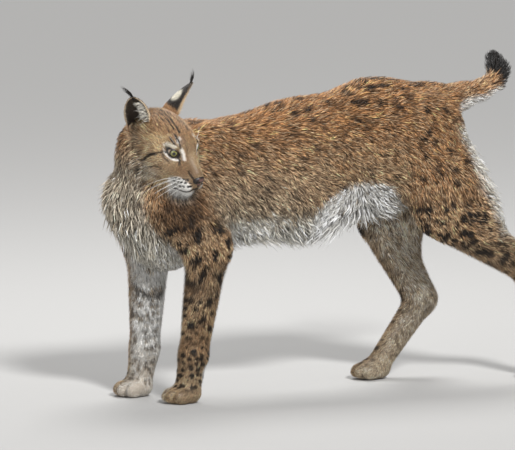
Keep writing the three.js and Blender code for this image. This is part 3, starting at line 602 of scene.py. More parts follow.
def trunk_colour(p):
    x, y, z = p.T
    drift = noise(p, 60, 11)
    fine = noise(p * (0.35, 1, 1), 12, 14)
    pale = ramp(z + 26 * (drift - 0.5), 425, 362)
    front = ramp(x, -335, -405) * ramp(z, 570, 500)
    streaks = spots(p * (0.36, 1, 0.4), 14.5, 6.2, 101, 0.97, 0.4)
    saddle = spots(p * (0.45, 0.4, 0.8), 16, 6.4, 121, 0.97, 0.4)
    faint = spots(p * (0.55, 0.4, 1), 19, 6.2, 131, 0.95, 0.5)
    haunch = spots(p * (1, 0.4, 1), 18, 7.2, 151, 0.97, 0.3)
    marks = [
        0.97 * streaks * ramp(z, 575, 632) * ramp(np.abs(y), 78, 30),
        0.92 * saddle * ramp(z, 520, 575),
        0.85 * faint * ramp(z, 620, 540) * (1 - 0.7 * pale),
        0.6 * spots(p, 20, 5.4, 137, 0.9, 0.5) * front,
        0.97 * haunch * ramp(x, 130, 210) * ramp(z, 560, 480),
    ]
    return mixed(
        TAWNY,
        RUFOUS, 0.9 * ramp(z, 500, 600) * (0.5 + 0.5 * drift),
        SANDY, 0.45 * ramp(z, 580, 440) * (0.4 + fine),
        GREY, 0.45 * ramp(z, 520, 400) * ramp(x, 60, -160),
        GREY, 0.85 * pale,
        mixed(CREAM, WHITE, 0.5), 0.85 * ramp(z, 400, 346),
        mixed(GREY, CREAM, 0.1 + 0.5 * drift) * 0.85, 0.75 * front,
        # Painted shadow of the head over the throat and the front of the shoulder, where there is also some
        # dark brown hair
        BROWN, 0.85 * bump(p, (-368, -115, 420), (90, 95, 90)),
        WHITE, 0.97 * ramp(bump(p, (68, 0, 380), (150, 160, 104)), 0.03, 0.4),
        DARK, np.max(marks, axis=0),
    )


# How far back the thigh reaches at two heights
BREECH_HEIGHTS = (340, 545)
BREECH_EDGE = (412, 326)


def leg_colour(p, side, hind):
    """Leg markings: crisp round spots outside, paler inside; side is -1 on the left and 1 on the right."""
    x, y, z = p.T
    outer = ramp(side * y, 48, 82)
    inner = (1 - outer) * ramp(z, 470, 400)
    tint = noise(p, 40, 21)
    fur = mixed(
        TAWNY,
        SANDY, 0.15 + 0.4 * tint,
        RUFOUS, 0.9 * ramp(z, 330, 480) * (0.4 + 0.6 * tint),
        mixed(SANDY, CREAM, 0.6) if hind else WHITE, (0.75 if hind else 0.96) * inner,
        SANDY, 0.5 * ramp(z, 130, 50),
    )
    big = spots(p * (1, 0.45, 1), 18, 9.2, 161, 0.97, 0.2) * ramp(z, 225, 265)
    middling = spots(p * (1, 0.6, 1), 14.5, 7.2, 171, 0.97, 0.2) * ramp(z, 265, 225) * ramp(z, 120, 150)
    small = spots(p * (1, 0.7, 1), 11.5, 5.4, 175, 0.95, 0.2) * ramp(z, 150, 120) * ramp(z, 18, 40)
    if hind:
        rear_edge = np.interp(z, BREECH_HEIGHTS, BREECH_EDGE)
        behind = ramp(x - rear_edge, -44, -8) * ramp(z, 290, 350) * ramp(z, 575, 535)
        before = ramp(bump(p, (118, 62 * side, 396), (80, 90, 66)), 0.05, 0.5)
        fur = mixed(fur, mixed(CREAM, WHITE, 0.4), 0.9 * behind, WHITE, 0.9 * before)
        soft = spots(p * (0.75, 0.4, 1), 17, 7.6, 165, 0.97, 0.4) * ramp(z, 385, 440)
        big = np.maximum(big * ramp(z, 440, 385), 0.95 * soft) * (1 - 0.8 * behind)
        marks = np.max([big, middling, small], axis=0) * (0.45 + 0.55 * outer)
    else:
        # Painted shadow of the head over the front of the shoulder, where there is also some dark brown hair
        shadow = bump(p, (-366, 115 * side, 420), (86, 90, 90))
        fringe = ramp(bump(p, (-296, 80 * side, 66), (24, 44, 30)), 0.1, 0.5)
        fur = mixed(fur, BROWN, 0.8 * shadow, WHITE, 0.9 * fringe)
        bar = np.abs(z - 228 - 9 * np.sin(y * 0.13)) + 13 * noise(p, 12, 23)
        marks = np.max([big * ramp(z, 440, 370), middling, small], axis=0) * (0.65 + 0.35 * outer)
        marks = np.maximum(marks, 0.9 * (1 - outer) * ramp(bar, 17, 10))
    return mixed(fur, DARK, 0.98 * marks)


def tail_colour(p):
    x, _, z = p.T
    joint_x, _, joint_z = np.transpose(TAIL[:4])
    return mixed(
        RUFOUS,
        SANDY, 0.5 * noise(p, 25, 31),
        WHITE, 0.85 * ramp(z - np.interp(x, joint_x, joint_z), 2, -12),
        DARK, 0.6 * spots(p, 20, 5, 181, 0.7, 0.5),
        DARK * 0.7, ramp(x + 0.4 * (z - 620) + 8 * (noise(p, 8, 33) - 0.5), 438, 452),
    )


COAT_PAINTERS = [(trunk_colour, ()), (face_colour, ())]
COAT_PAINTERS += [(leg_colour, (side, hind)) for hind in (False, True) for side in (-1, 1)]
COAT_PAINTERS.append((tail_colour, ()))
LEAST_SHARE = 0.01


def coat_colour(p, weights):
    """Colour of the coat at each place, from the markings of the parts that own it."""
    shares = weights**2 / (weights**2).sum(0)
    shares = np.where(shares > LEAST_SHARE, shares, 0)
    colour = np.zeros((len(p), 3))
    for share, (painter, kind) in zip(shares / shares.sum(0), COAT_PAINTERS):
        owned = share > 0
        colour[owned] += share[owned, None] * painter(p[owned], *kind)
    return colour


# The lie of the coat
TOES = (-40, 0, -12)


def limb_flow(p, joints, onward):
    """The way down a limb: the direction of the nearest of its bones, or onward past the last joint."""
    joints = np.vstack([joints, np.add(joints[-1], onward)])
    total = 0
    for a, b in zip(joints[:-1], joints[1:]):
        far = np.linalg.norm(from_line(p, a, b)[1], axis=1)
        total = total + unit(b - a) * np.exp(-far / 14)[:, None] * 1e3
    return unit(total)


def haunch_flow(p, leg):
    """Slanting back over the haunch, then down the leg."""
    return mixed(limb_flow(p, leg, TOES), unit((0.74, 0, -0.67)), ramp(p[:, 2], 400, 500))


def trunk_flow(p):
    x, _, z = p.T
    return mixed(
        (1.0, 0, -0.08),
        (0.80, 0, -0.60), ramp(z, 605, 510),
        (0.55, 0, -0.83), ramp(z, 460, 380),
        unit(p - (78, -20, 480)), 0.9 * ramp(bump(p, (75, 0, 385), (150, 160, 110)), 0.05, 0.5),
        (0.12, 0, -1.0), ramp(x, -310, -390),
        (0.75, 0.15, -0.6), ramp(z, 500, 560) * ramp(x, -260, -340),
        (0.40, 0, -1.0), ramp(x, 260, 340) * ramp(z, 600, 540),
    )


def head_flow(p):
    """Back over the crown, down the cheeks and chin, worked out for one side and mirrored."""
    f, l, w = to_head(p).T
    one = np.ones(len(p))
    flow = mixed(
        np.stack([-one, 0.25 * ramp(np.abs(l), 5, 30), 0.35 * one], 1),
        (-0.85, 0.45, -0.45), ramp(w, 8, -20),
        (-0.45, 0.2, -1), ramp(w, -58, -80) * ramp(np.abs(l), 60, 30),
        (-0.5, 0.4, -0.9), 0.8 * ramp(f, 20, -30) * ramp(w, -30, -60),
    )
    return (flow * np.stack([one, np.sign(l), one], 1)) @ HEAD_AXES


def coat_flow(p, weights):
    flows = [trunk_flow(p), head_flow(p)]
    flows += [limb_flow(p, leg[1:], TOES) for leg in FORELEGS.values()]
    flows += [haunch_flow(p, leg) for leg in HINDLEGS.values()]
    flows.append(limb_flow(p, TAIL, (-10, 20, 30)))
    return sum(w[:, None] * flow for w, flow in zip(weights, flows))


# Meshes
def ball_centre(points):
    """Centre of the sphere that points lie on."""
    table = np.c_[2 * points, np.ones(len(points))]
    return np.linalg.lstsq(table, (points**2).sum(1), rcond=None)[0][:3]


def node_points(name):
    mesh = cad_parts[name].data
    points = np.empty(3 * len(mesh.vertices))
    mesh.vertices.foreach_get("co", points)
    return points.reshape(-1, 3)


SHIFT = ball_centre(node_points("eye_left")) - from_head(EYE) * MM
SHIFT[2] = 0.0


def mesh_piece(name, material, slot_name, places, faces, colours=None, uvs=None):
    """A piece from places in millimetres, riding on the body."""
    mesh = bpy.data.meshes.new(name)
    mesh.vertices.add(len(places))
    mesh.vertices.foreach_set("co", (np.asarray(places, float) * MM + SHIFT).astype(np.float32).ravel())
    faces = np.asarray(faces, np.int32)
    mesh.loops.add(faces.size)
    mesh.loops.foreach_set("vertex_index", faces.ravel())
    mesh.polygons.add(len(faces))
    mesh.polygons.foreach_set("loop_start", np.arange(0, faces.size, faces.shape[1], dtype=np.int32))
    mesh.update(calc_edges=True)
    mesh.polygons.foreach_set("use_smooth", np.ones(len(faces), bool))
    if colours is not None:
        paint = mesh.attributes.new("Coat", "FLOAT_COLOR", "POINT")
        paint.data.foreach_set("color", np.c_[colours, np.ones(len(colours))].astype(np.float32).ravel())
    if uvs is not None:
        layer = mesh.uv_layers.new(name="OFBake")
        layer.data.foreach_set("uv", uvs.astype(np.float32)[faces.ravel()].ravel())
    piece = bpy.data.objects.new(name, mesh)
    bpy.context.collection.objects.link(piece)
    mesh.materials.append(material)
    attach(piece, "root")
    return piece


def wire(tree, node, **sockets):
    """Puts a constant, or a link from another node's output, on each named socket of a node."""
    for name, value in sockets.items():
        socket = node.inputs[name.replace("_", " ")]
        if isinstance(value, bpy.types.NodeSocket):
            tree.links.new(value, socket)
        else:
            socket.default_value = value
    return node


def new_material(name, **sockets):
    """A Principled material with constant values on the shader's sockets."""
    material = bpy.data.materials.new(name)
    material.use_nodes = True
    wire(material.node_tree, material.node_tree.nodes["Principled BSDF"], **sockets)
    return material


def painted_material(name, texture=None, **sockets):
    """A material in the mesh's own colours; a fine texture, if any, varies their shade and raises relief."""
    material = new_material(name, **sockets)
    tree = material.node_tree
    shader = tree.nodes["Principled BSDF"]
    paint = tree.nodes.new("ShaderNodeAttribute")
    paint.attribute_name = "Coat"
    if texture is None:
        wire(tree, shader, Base_Color=paint.outputs["Color"])
        return material
    kind, output, scale, detail, darkest, lightest, strength, depth = texture
    place = tree.nodes.new("ShaderNodeTexCoord").outputs["Object"]
    grain = wire(tree, tree.nodes.new(kind), Vector=place, Scale=scale, Detail=detail).outputs[output]
    shade = wire(tree, tree.nodes.new("ShaderNodeMapRange"), Value=grain, To_Min=darkest, To_Max=lightest)
    tint = tree.nodes.new("ShaderNodeVectorMath")
    tint.operation = "SCALE"
    wire(tree, tint, Vector=paint.outputs["Color"], Scale=shade.outputs["Result"])
    relief = wire(tree, tree.nodes.new("ShaderNodeBump"), Strength=strength, Distance=depth, Height=grain)
    wire(tree, shader, Base_Color=tint.outputs["Vector"], Normal=relief.outputs["Normal"])
    return material


# A texture is a node and its output, scale, detail, darkest and lightest shade, relief's strength and depth
STRANDS = ("ShaderNodeTexNoise", "Fac", 900, 3, 0.78, 1.22, 0.25, 0.0006)
FUR = painted_material("fur", STRANDS, Roughness=0.5, Specular_IOR_Level=0.4)


def leather(name, roughness, scale, depth):
    """Fine pebbled skin."""
    pebbles = ("ShaderNodeTexVoronoi", "Distance", scale, 0, 0.7, 1.1, 0.5, depth)
    return painted_material(name, pebbles, Roughness=roughness, Specular_IOR_Level=0.45)


# The skin, one surface over head, body, legs and tail
SKIN_NODES = ["head", "neck", "torso", "tail", "tail_tip"]
for limb in ("foreleg", "forepaw", "thigh", "shank", "hindfoot"):
    SKIN_NODES += [f"{limb}_left", f"{limb}_right"]
FINE = 2.8
COARSE = 7.5
SKIN_LINES = [
    grid_lines(-540, 560, -520, -325, COARSE, FINE),
    grid_lines(-180, 165, -178, 24, COARSE, FINE),
    grid_lines(-12, 720, 424, 632, COARSE, FINE),
]
LOWEST_SKIN = 0.4
LOWEST_HAIR = 0.5
# The skin is painted much darker than the coat, as painted shade of the hair over it
SKIN_SHADE = 0.20


def shaded(colour, shade):
    """Colour near the root as painted shade of the coat over it: dark under dark hair, and less so under pale
    hair, which lets light through.
    """
    lift = 0.7 * ramp(colour.mean(1), 0.42, 0.78)[:, None]
    return colour * (shade + (1 - shade) * lift)


skin_places, skin_quads = net(skin_field, SKIN_LINES)
skin_places[:, 2] = np.maximum(skin_places[:, 2], LOWEST_SKIN)
skin_paint = shaded(coat_colour(skin_places, part_weights(part_fields(skin_places))), SKIN_SHADE)
skin = mesh_piece("skin", FUR, "body_fur", skin_places, skin_quads, skin_paint)
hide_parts(*SKIN_NODES)


# Tufts of hair
def scatter(places, quads, density):
    """Roots spread evenly over a mesh at a density for each face."""
    corners = places[quads]
    crossed = np.cross(corners[:, 2] - corners[:, 0], corners[:, 3] - corners[:, 1])
    total = np.cumsum(0.5 * np.linalg.norm(crossed, axis=1) * density)
    count = int(total[-1])
    ticks = np.arange(count) + rng.random(count)
    face = np.minimum(np.searchsorted(total, ticks), len(quads) - 1)
    u, v = rng.random((2, count, 1))
    a, b, c, d = [corners[face, i] for i in range(4)]
    return ((a * (1 - u) + b * u) * (1 - v) + (d * (1 - u) + c * u) * v).astype(np.float32)


# A hair's widths and shades at its rings, by their number or for the ear's pencil
# The low shades near the root darken it as painted shade deep in the coat
HAIR_LOOKS = {
    1: ((1.0,), (0.6,)),
    2: ((0.9, 1.0), (0.16, 0.85)),
    3: ((0.8, 1.0, 0.72), (0.14, 0.6, 1.02)),
    "pencil": ((0.9, 1.0, 0.7), (1, 1, 1)),
}
HAIR_THICKNESS = 0.7
UV_PATCH = 0.003
UV_MARGIN = 0.02


def unwrapped(p, axis_start, axis_end, out):
    """Places unwrapped from a cylinder round an axis."""
    along = unit(np.subtract(axis_end, axis_start))
    front = unit(np.asarray(out, float) - np.dot(out, along) * along)
    v = p - np.asarray(axis_start, float)
    u = v @ along
    u = (u - u.min()) / max(np.ptp(u), 1e-6)
    turn = np.arctan2(v @ np.cross(along, front), v @ front) / (2 * np.pi) + 0.5
    return UV_MARGIN + (1 - 2 * UV_MARGIN) * np.stack([u, turn], 1)


def hair_mesh(path, across, out, width, body, tip, look, roots, axis):
    """Places, faces, colours and UVs of tapered three-sided hairs along paths, closed at the root."""
    count, rings = len(path), path.shape[1] - 1
    taper, shades = HAIR_LOOKS[look]
    half = (width[:, None] * taper)[..., None] / 2
    side = across[:, None] * half
    lift = out[:, None] * half * HAIR_THICKNESS
    middle = path[:, :rings]
    ring = np.stack([middle - side - lift * 0.4, middle + side - lift * 0.4, middle + lift * 0.6], 2)
    places = np.concatenate([ring.reshape(count, rings * 3, 3), path[:, rings:]], 1)
    point = 3 * rings
    faces = [(0, 2, 1)]
    for a in range(point):
        b = a - a % 3 + (a + 1) % 3
        if a >= point - 3:
            faces.append((a, b, point))
        else:
            faces += [(a, b, b + 3), (a, b + 3, a + 3)]
    faces = np.array(faces) + (point + 1) * np.arange(count)[:, None, None]
    colours = np.stack([shaded(body, shade) for shade in shades for _ in range(3)] + [tip], 1)
    patch = [(u, i / rings - 0.5) for i in range(rings) for u in (-0.5, 0.5, 0.0)] + [(0.0, 0.5)]
    uvs = unwrapped(roots, *axis)[:, None] + UV_PATCH * np.array(patch)
    return places.reshape(-1, 3), faces.reshape(-1, 3), colours.reshape(-1, 3), uvs.reshape(-1, 2)


def hair_path(root, normal, flow, length, height, rings, sunk=1.2):
    """Paths that rise from the root, bend over and run along the lie, swept a little to one side."""
    across = unit(np.cross(normal, flow))
    lie = np.cross(across, normal)
    sweep = length * 0.12 * rng.standard_normal(len(root))
    path = []
    for s in np.linspace(0, 1, rings + 1) ** 0.85:
        rise = height * s**0.62 - sunk * (s == 0)
        offset = lie * (length * s)[:, None] + normal * rise[:, None] + across * (sweep * s * s)[:, None]
        path.append(root + offset)
    return np.stack(path, 1), across


# The width of a lock, and the seed for where the locks are
CLUMP = 13.0
CLUMP_SEED = 301


def clump_centre(p):
    """The middle of the lock that each root belongs to, and a random number for that lock."""
    q = np.asarray(p, float) / CLUMP
    base = np.floor(q).astype(np.int64)
    best = np.full(len(q), 1e9)
    centre = np.zeros_like(q)
    chance = np.zeros(len(q))
    for step in NEIGHBOURS:
        cell = base + step
        middle = cell + jitter(cell, CLUMP_SEED, CLUMP_SEED + 1, CLUMP_SEED + 2)
        far = ((q - middle) ** 2).sum(1)
        closer = far < best
        best[closer] = far[closer]
        centre[closer] = middle[closer]
        chance[closer] = scrambled(cell, CLUMP_SEED + 9)[closer]
    return centre * CLUMP, chance


def bare(p):
    """Where no hair grows: the eyes with their lids, the nose leather, the lips and the soles."""
    q = to_half_head(p)
    lidded = (bump(q, EYE + GAZE * 12, (15, 17, 10)) > 0.75) & (q[:, 0] > 20)
    leather_end = bump(q, (119, 0, -37), (13, 13, 12)) > 0.4
    lip = stroke(q, MOUTH_LINE, 3.0, 0.9) > 0.5
    return lidded | leather_end | lip | (p[:, 2] < 3.0)


def tuft_width(length):
    return np.interp(length, (3, 8, 16, 24, 40), (0.6, 0.85, 1.25, 1.6, 2.3))


def tuft_spacing(length):
    return np.interp(length, (3, 8, 16, 24, 40), (1.05, 1.3, 2.25, 2.75, 4.0))


def without(v, way):
    """Vectors less their share along unit directions."""
    return v - way * (v * way).sum(1)[:, None]


class Coat:
    """The hairs of the coat: one entry for each hair in each of its arrays."""

    def __init__(self, root):
        weights = part_weights(part_fields(root))
        count = len(root)
        self.root = root
        self.owner = np.argmax(weights, axis=0)
        self.base = coat_length(root, weights)
        self.normal = unit(slope(root))
        flow = unit(coat_flow(root, weights))
        swirl = 0.9 * (noise(root, 26, 41) - 0.5) + 0.14 * rng.standard_normal(count)
        flow = flow + np.cross(self.normal, flow) * swirl[:, None]
        self.flow = unit(without(flow, self.normal))
        self.length = self.base * rng.uniform(0.72, 1.22, count)
        shaggy = 1.6 * ramp(self.base, 26, 34) + 1.4 * ramp(self.base, 36, 48)
        shaggy = 1 + shaggy * rng.random(count) ** 1.6
        self.height = skin_depth(self.base) * rng.uniform(0.45, 1.1, count) * shaggy
        self.width = tuft_width(self.base) * rng.uniform(0.75, 1.2, count)
        self.paint(coat_colour(root, weights))

    def paint(self, colour):
        """Colours at root and tip: locks and hairs vary, and some hairs end pale or dark."""
        count = len(self.root)
        self.middle, chance = clump_centre(self.root)
        light = (0.68 + 0.64 * chance) * np.exp(0.46 * np.clip(rng.standard_normal(count), -2, 2))
        light = light * (0.8 + 0.4 * noise(self.root, 40, 43))
        body = colour * light[:, None]
        kind = rng.random(count)
        brightness = colour.mean(1)
        grizzle = (0.4 + 0.6 * ramp(self.base, 7, 16)) * ramp(brightness, 0.12, 0.20)
        pale = (kind < 0.18 + 0.16 * ramp(self.root[:, 2], 560, 460)) * grizzle
        dark = (kind > 0.70) * grizzle * ramp(brightness, 0.56, 0.42)
        frost = mixed(STRAW, WHITE, ramp(brightness, 0.36, 0.50))
        self.tip = np.clip(mixed(body * 1.25, frost, 0.8 * pale, BROWN, 0.85 * dark), 0, BRIGHTEST)
        self.body = np.clip(mixed(body, frost, 0.45 * pale, BROWN, 0.6 * dark), 0, 0.9)

    def only(self, chosen):
        """A coat of the chosen hairs."""
        part = Coat.__new__(Coat)
        vars(part).update({name: values[chosen] for name, values in vars(self).items()})
        return part

    def mesh(self, rings, axis):
        """Places, faces, colours and UVs of the hairs, ending over the skin and gathered to locks."""
        path, across = hair_path(self.root, self.normal, self.flow, self.length, self.height, rings)
        for index, share in ((rings, 1.0), (rings - 1, 0.75))[:rings]:
            height = self.height * share
            path[:, index] = settle(path[:, index], height, rounds=1, furthest=14, least_slope=0.3)
        pull = without(without(self.middle - self.root, self.normal), self.flow)
        pull *= 0.55 * ramp(self.base, 6, 22)[:, None]
        for index, s in enumerate(np.linspace(0, 1, rings + 1)):
            path[:, index] += pull * s**1.5
        path[..., 2] = np.maximum(path[..., 2], LOWEST_HAIR)
        return hair_mesh(path, across, self.normal, self.width, self.body, self.tip, rings, self.root, axis)


# Base lengths from which hairs have two and three rings
LONG_HAIR = (17, 30)
# Start, end and front of the cylinder that each part is unwrapped from
AXES = {
    "head": (from_head((-60, 0, -20)), from_head((110, 0, -40)), head_direction((0, 0, -1))),
    "trunk": ((-420, 0, 440), (330, 0, 520), (0, 0, -1)),
    "fore_left": (FORELEGS["left"][4], (-300, -80, 460), (0, 1, 0)),
    "fore_right": (FORELEGS["right"][4], (-360, 68, 460), (0, -1, 0)),
    "hind_left": (HINDLEGS["left"][3], (300, -66, 500), (0, 1, 0)),
    "hind_right": (HINDLEGS["right"][3], (230, 62, 500), (0, -1, 0)),
    "tail": (TAIL[0], TAIL[5], (0, 0, -1)),
}
MOST_TRIANGLES = 190000


def coat_pieces(name, coat, owner, pick, rings):
    """Meshes for the picked hairs of a part, as many as the limit on one piece needs."""
    chosen = np.flatnonzero(pick)
    sorting_axis = 0 if owner in ("trunk", "head") else 2
    order = chosen[np.argsort(coat.root[chosen, sorting_axis], kind="stable")]
    parts = math.ceil(len(order) * (6 * rings - 2) / MOST_TRIANGLES)
    for number in range(parts):
        share = np.sort(np.array_split(order, parts)[number])
        label = name if parts == 1 else f"{name}_{number + 1}"
        slot_name = "face_fur" if owner == "head" else "body_fur"
        mesh_piece(label, FUR, slot_name, *coat.only(share).mesh(rings, AXES[owner]))


def grow_coat():
    """Down, coat hairs and locks on each part, of one, two and three rings."""
    middle = skin_places[skin_quads].mean(1)
    middle_length = coat_length(middle, part_weights(part_fields(middle)))
    density = 1 / tuft_spacing(middle_length) ** 2
    coat = Coat(settle(scatter(skin_places, skin_quads, density), 0, rounds=1))
    rings = 1 + (coat.base > LONG_HAIR[0]) + (coat.base > LONG_HAIR[1])
    grows = ~bare(coat.root)
    left = coat.root[:, 1] < 0
    for index, owner in enumerate(PARTS):
        sides = {"_left": left, "_right": ~left} if owner == "trunk" else {"": grows}
        for count, kind in enumerate(("down", "coat", "locks"), 1):
            pick = grows & (coat.owner == index) & (rings == count)
            for side, there in sides.items():
                coat_pieces(f"{kind}_{owner}{side}", coat, owner, pick & there, count)


grow_coat()

# Eyes
IRIS_EDGE = 38
PUPIL_EDGE = 15
OLIVE = np.array((0.085, 0.085, 0.02))
GOLD = np.array((0.21, 0.20, 0.05))
EYE_WHITE = np.array((0.30, 0.23, 0.17))


def eye_frame(hand):
    """An eye's axes and centre in the body's frame."""
    return head_direction(eye_axes(hand)), from_head(EYE * (1, hand, 1))


def revolved(rings, around):
    """Quads between rings of points, each ring closed."""
    a = np.arange((rings - 1) * around)
    b = np.where(a % around == around - 1, a + 1 - around, a + 1)
    return np.stack([a, b, b + around, a + around], 1)


def eyeball(name, hand, around=64):
    """A ball with a raised cornea; iris and pupil by the angle from where it looks."""
    axes, centre = eye_frame(hand)
    angles = np.radians(np.concatenate([np.linspace(0.4, 60, 50), np.linspace(66, 179.6, 16)]))
    turn = np.linspace(0, 2 * np.pi, around, endpoint=False)
    angle, turn = np.meshgrid(angles, turn, indexing="ij")
    degrees = np.degrees(angle).ravel()
    local = np.stack([np.sin(angle) * np.cos(turn), np.sin(angle) * np.sin(turn), np.cos(angle)], -1)
    radius = EYE_RADIUS + 1.1 * ramp(degrees, 48, 10)
    places = (local.reshape(-1, 3) * radius[:, None]) @ axes + centre
    fibre = noise(np.stack([np.cos(turn) * 9, np.sin(turn) * 9, angle * 4], -1).reshape(-1, 3), 1.0, 51)
    colour = mixed(
        OLIVE,
        GOLD, ramp(degrees, 38, 14) * 0.7 + 0.5 * (fibre - 0.4),
        BROWN * 0.3, 0.95 * ramp(degrees, IRIS_EDGE - 10, IRIS_EDGE - 1),
        EYE_WHITE, ramp(degrees, IRIS_EDGE + 5, IRIS_EDGE + 12),
        DARK * 0.3, ramp(degrees, PUPIL_EDGE + 1, PUPIL_EDGE - 1),
    )
    piece = mesh_piece(f"eyeball_{name}", EYE_GLOSS, "eye", places, revolved(len(angles), around), colour)
    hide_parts(f"eye_{name}")


def eyelids(name, hand, around=72):
    """Lid margins round the eye, from the ball out onto the skin."""
    axes, centre = eye_frame(hand)
    turn = np.linspace(0, 2 * np.pi, around, endpoint=False)
    outline_y = np.sign(np.sin(turn)) * np.abs(np.sin(turn)) ** 1.25
    inner = ramp(-hand * np.cos(turn), 0.55, 1.0)
    upper = ramp(np.sin(turn), -0.1, 0.6)
    rows = []
    for wide, high, proud in LID_STEPS:
        x = np.cos(turn) * (LID_HALF_LENGTH + wide) - 2.2 * hand * inner
        y = outline_y * (np.where(outline_y > 0, LID_RISE, LID_DROP) + high)
        radius = EYE_RADIUS + proud
        z = np.sqrt(np.maximum(radius**2 - np.minimum(x * x + y * y, 0.93 * radius**2), 0))
        rows.append(np.stack([x, y, z], 1) @ axes + centre)
    for row, height in ((4, 0.6), (5, -0.8)):
        rows[row] = settle(rows[row], height, rounds=3).astype(float)
    colours = [
        np.tile(DARK * 0.8, (4 * around, 1)),
        mixed(face_colour(rows[4]) * 0.9, DARK, np.maximum(0.8 * inner, 0.5 * upper)),
        face_colour(rows[5]) * 0.85,
    ]
    quads = revolved(len(rows), around)
    mesh_piece(f"eyelids_{name}", LID_SKIN, "lip_skin", np.concatenate(rows), quads, np.concatenate(colours))


# Each ring of the lids: wider and higher than the opening, and proud of the ball
LID_STEPS = [(0, 0, 0.15), (0, 0, 1.3), (1.4, 1.0, 1.9), (3.0, 2.0, 1.5), (5.8, 5.0, 0.2), (8.6, 8.0, -3.0)]
EYE_GLOSS = painted_material("eye_gloss", Roughness=0.12, Coat_Weight=1.0, Coat_Roughness=0.03)
LID_SKIN = painted_material("lid_skin", Roughness=0.4, Coat_Weight=0.25, Coat_Roughness=0.03)
HANDS = {"left": 1, "right": -1}

for side_name, side_hand in HANDS.items():
    eyeball(side_name, side_hand)
    eyelids(side_name, side_hand)

# Nose leather with its nostrils
NOSTRIL = [(119.5, 4.6, -38.5), (113, 10.5, -36)]
NOSE_PINK = np.array((0.12, 0.062, 0.052))
NOSE_BLACK = np.array((0.012, 0.009, 0.009))
NOSE_GRID = 0.9


def nose_field(p):
    q = to_half_head(p).astype(p.dtype)
    d = egg(q, (112, 0, -33), (9.5, 12.2, 7.5))
    d = join(d, egg(q, (109, 7, -37), (9, 6.5, 7.5)), 3)
    d = join(d, egg(q, (111, 0, -44), (7.5, 4, 9)), 4)
    groove = bone(q, (122, 0, -38), (119.5, 0, -55), 0.9, 0.9)
    d = -join(-d, groove, 1.2)
    return -join(-d, bone(q, *NOSTRIL, 2.3, 1.7), 1.2)


def nose_colour(p):
    """Brownish pink in front, black at the wings, the nostrils and the edge towards the fur."""
    q = to_half_head(p)
    f, l, w = q.T
    black = [
        ramp(l, 5.0, 8.5),
        ramp(f, 113, 108),
        ramp(w, -30.5, -27.5),
        ramp(w, -44, -48),
        ramp(stroke(q, NOSTRIL, 5.0), 0.1, 0.6),
    ]
    return mixed(NOSE_PINK, NOSE_BLACK, 0.96 * np.max(black, axis=0))


NOSE_REACH = NOSE_GRID * np.arange(49) - 22
nose_lines = [(middle + NOSE_REACH).astype(np.float32) for middle in from_head((111, 0, -40))]
nose_places, nose_quads = net(nose_field, nose_lines)
NOSE_SKIN = leather("nose_skin", 0.36, 900, 0.0004)
mesh_piece("nose", NOSE_SKIN, "nose_leather", nose_places, nose_quads, nose_colour(nose_places))


# Lips and whiskers
def tube(path, radii, around):
    """A round tube of changing radius along a path."""
    ahead = unit(np.gradient(path, axis=0))
    side = unit(np.cross(ahead, (0.13, 0.21, 0.97)))
    other = np.cross(ahead, side)
    turn = np.linspace(0, 2 * np.pi, around, endpoint=False)
    ring = side[:, None] * np.cos(turn)[None, :, None] + other[:, None] * np.sin(turn)[None, :, None]
    places = path[:, None] + ring * radii[:, None, None]
    return places.reshape(-1, 3), revolved(len(path), around)


def joined(meshes):
    """One mesh from several, each given by its places and faces."""
    places, faces = zip(*meshes)
    starts = np.cumsum([0] + [len(part) for part in places[:-1]])
    return np.concatenate(places), np.concatenate([part + start for part, start in zip(faces, starts)])


def lips():
    """The dark line of the mouth, from under the nose to both corners."""
    meshes = []
    for hand in HANDS.values():
        line = smooth_path(MOUTH, 24) * (1, hand, 1)
        path = settle(from_head(line), 0.4, rounds=3).astype(float)
        meshes.append(tube(path, 2.0 * np.sin(np.linspace(0.35, np.pi - 0.15, 24)) ** 0.5, 10))
    places, faces = joined(meshes)
    lip_skin = leather("lip_skin", 0.35, 700, 0.0003)
    mesh_piece("lips", lip_skin, "lip_skin", places, faces, np.tile(DARK, (len(places), 1)))


def whisker(root, way, droop, width, mirror):
    """A stiff hair from its root on the skin, thinning to its end, as a tube."""
    s = np.linspace(0, 1, 10)[:, None]
    start = settle(from_head([np.multiply(root, mirror)]), 0.5).astype(float)[0]
    path = start + head_direction(way * mirror) * s + head_direction(np.multiply(droop, mirror)) * s**2
    thick, thin = width
    return tube(path, thick * (1 - s[:, 0]) ** 0.8 + thin, 5)


def whiskers():
    """Hairs from the rows on the muzzle and over the eyes, drooping back."""
    meshes = []
    for hand in HANDS.values():
        mirror = np.array((1, hand, 1))
        for row, roots in enumerate(WHISKER_ROWS):
            for n, root in enumerate(roots[1:]):
                length = (36 + 13 * n - 4 * row) * rng.uniform(0.85, 1.15)
                way = length * unit((-0.6 - 0.1 * n, 0.7 - 0.05 * n, -0.4 - 0.2 * row))
                droop = 0.75 * length * np.array((-0.35, -0.1, -0.75))
                meshes.append(whisker(root, way, droop, (0.32, 0.06), mirror))
        for n in range(2):
            way = 24 * unit((-0.1, 0.5 + 0.1 * n, 0.8))
            meshes.append(whisker((54 - 5 * n, 25 + 8 * n, 24), way, (-12, 0, -1.2), (0.14, 0.04), mirror))
    ivory = (0.93, 0.92, 0.88, 1)
    material = new_material("whisker_hair", Base_Color=ivory, Roughness=0.3, Specular_IOR_Level=0.5)
    mesh_piece("whiskers", material, "whisker", *joined(meshes))


lips()
whiskers()

# Ears
EAR_RIM = 2.4
EAR_INSET = 0.6
EAR_HOLLOW = np.array((0.075, 0.058, 0.046))
EAR_OPENINGS = {"left": (0.55, 0.82, 0.1), "right": (0.6, -0.78, 0.15)}


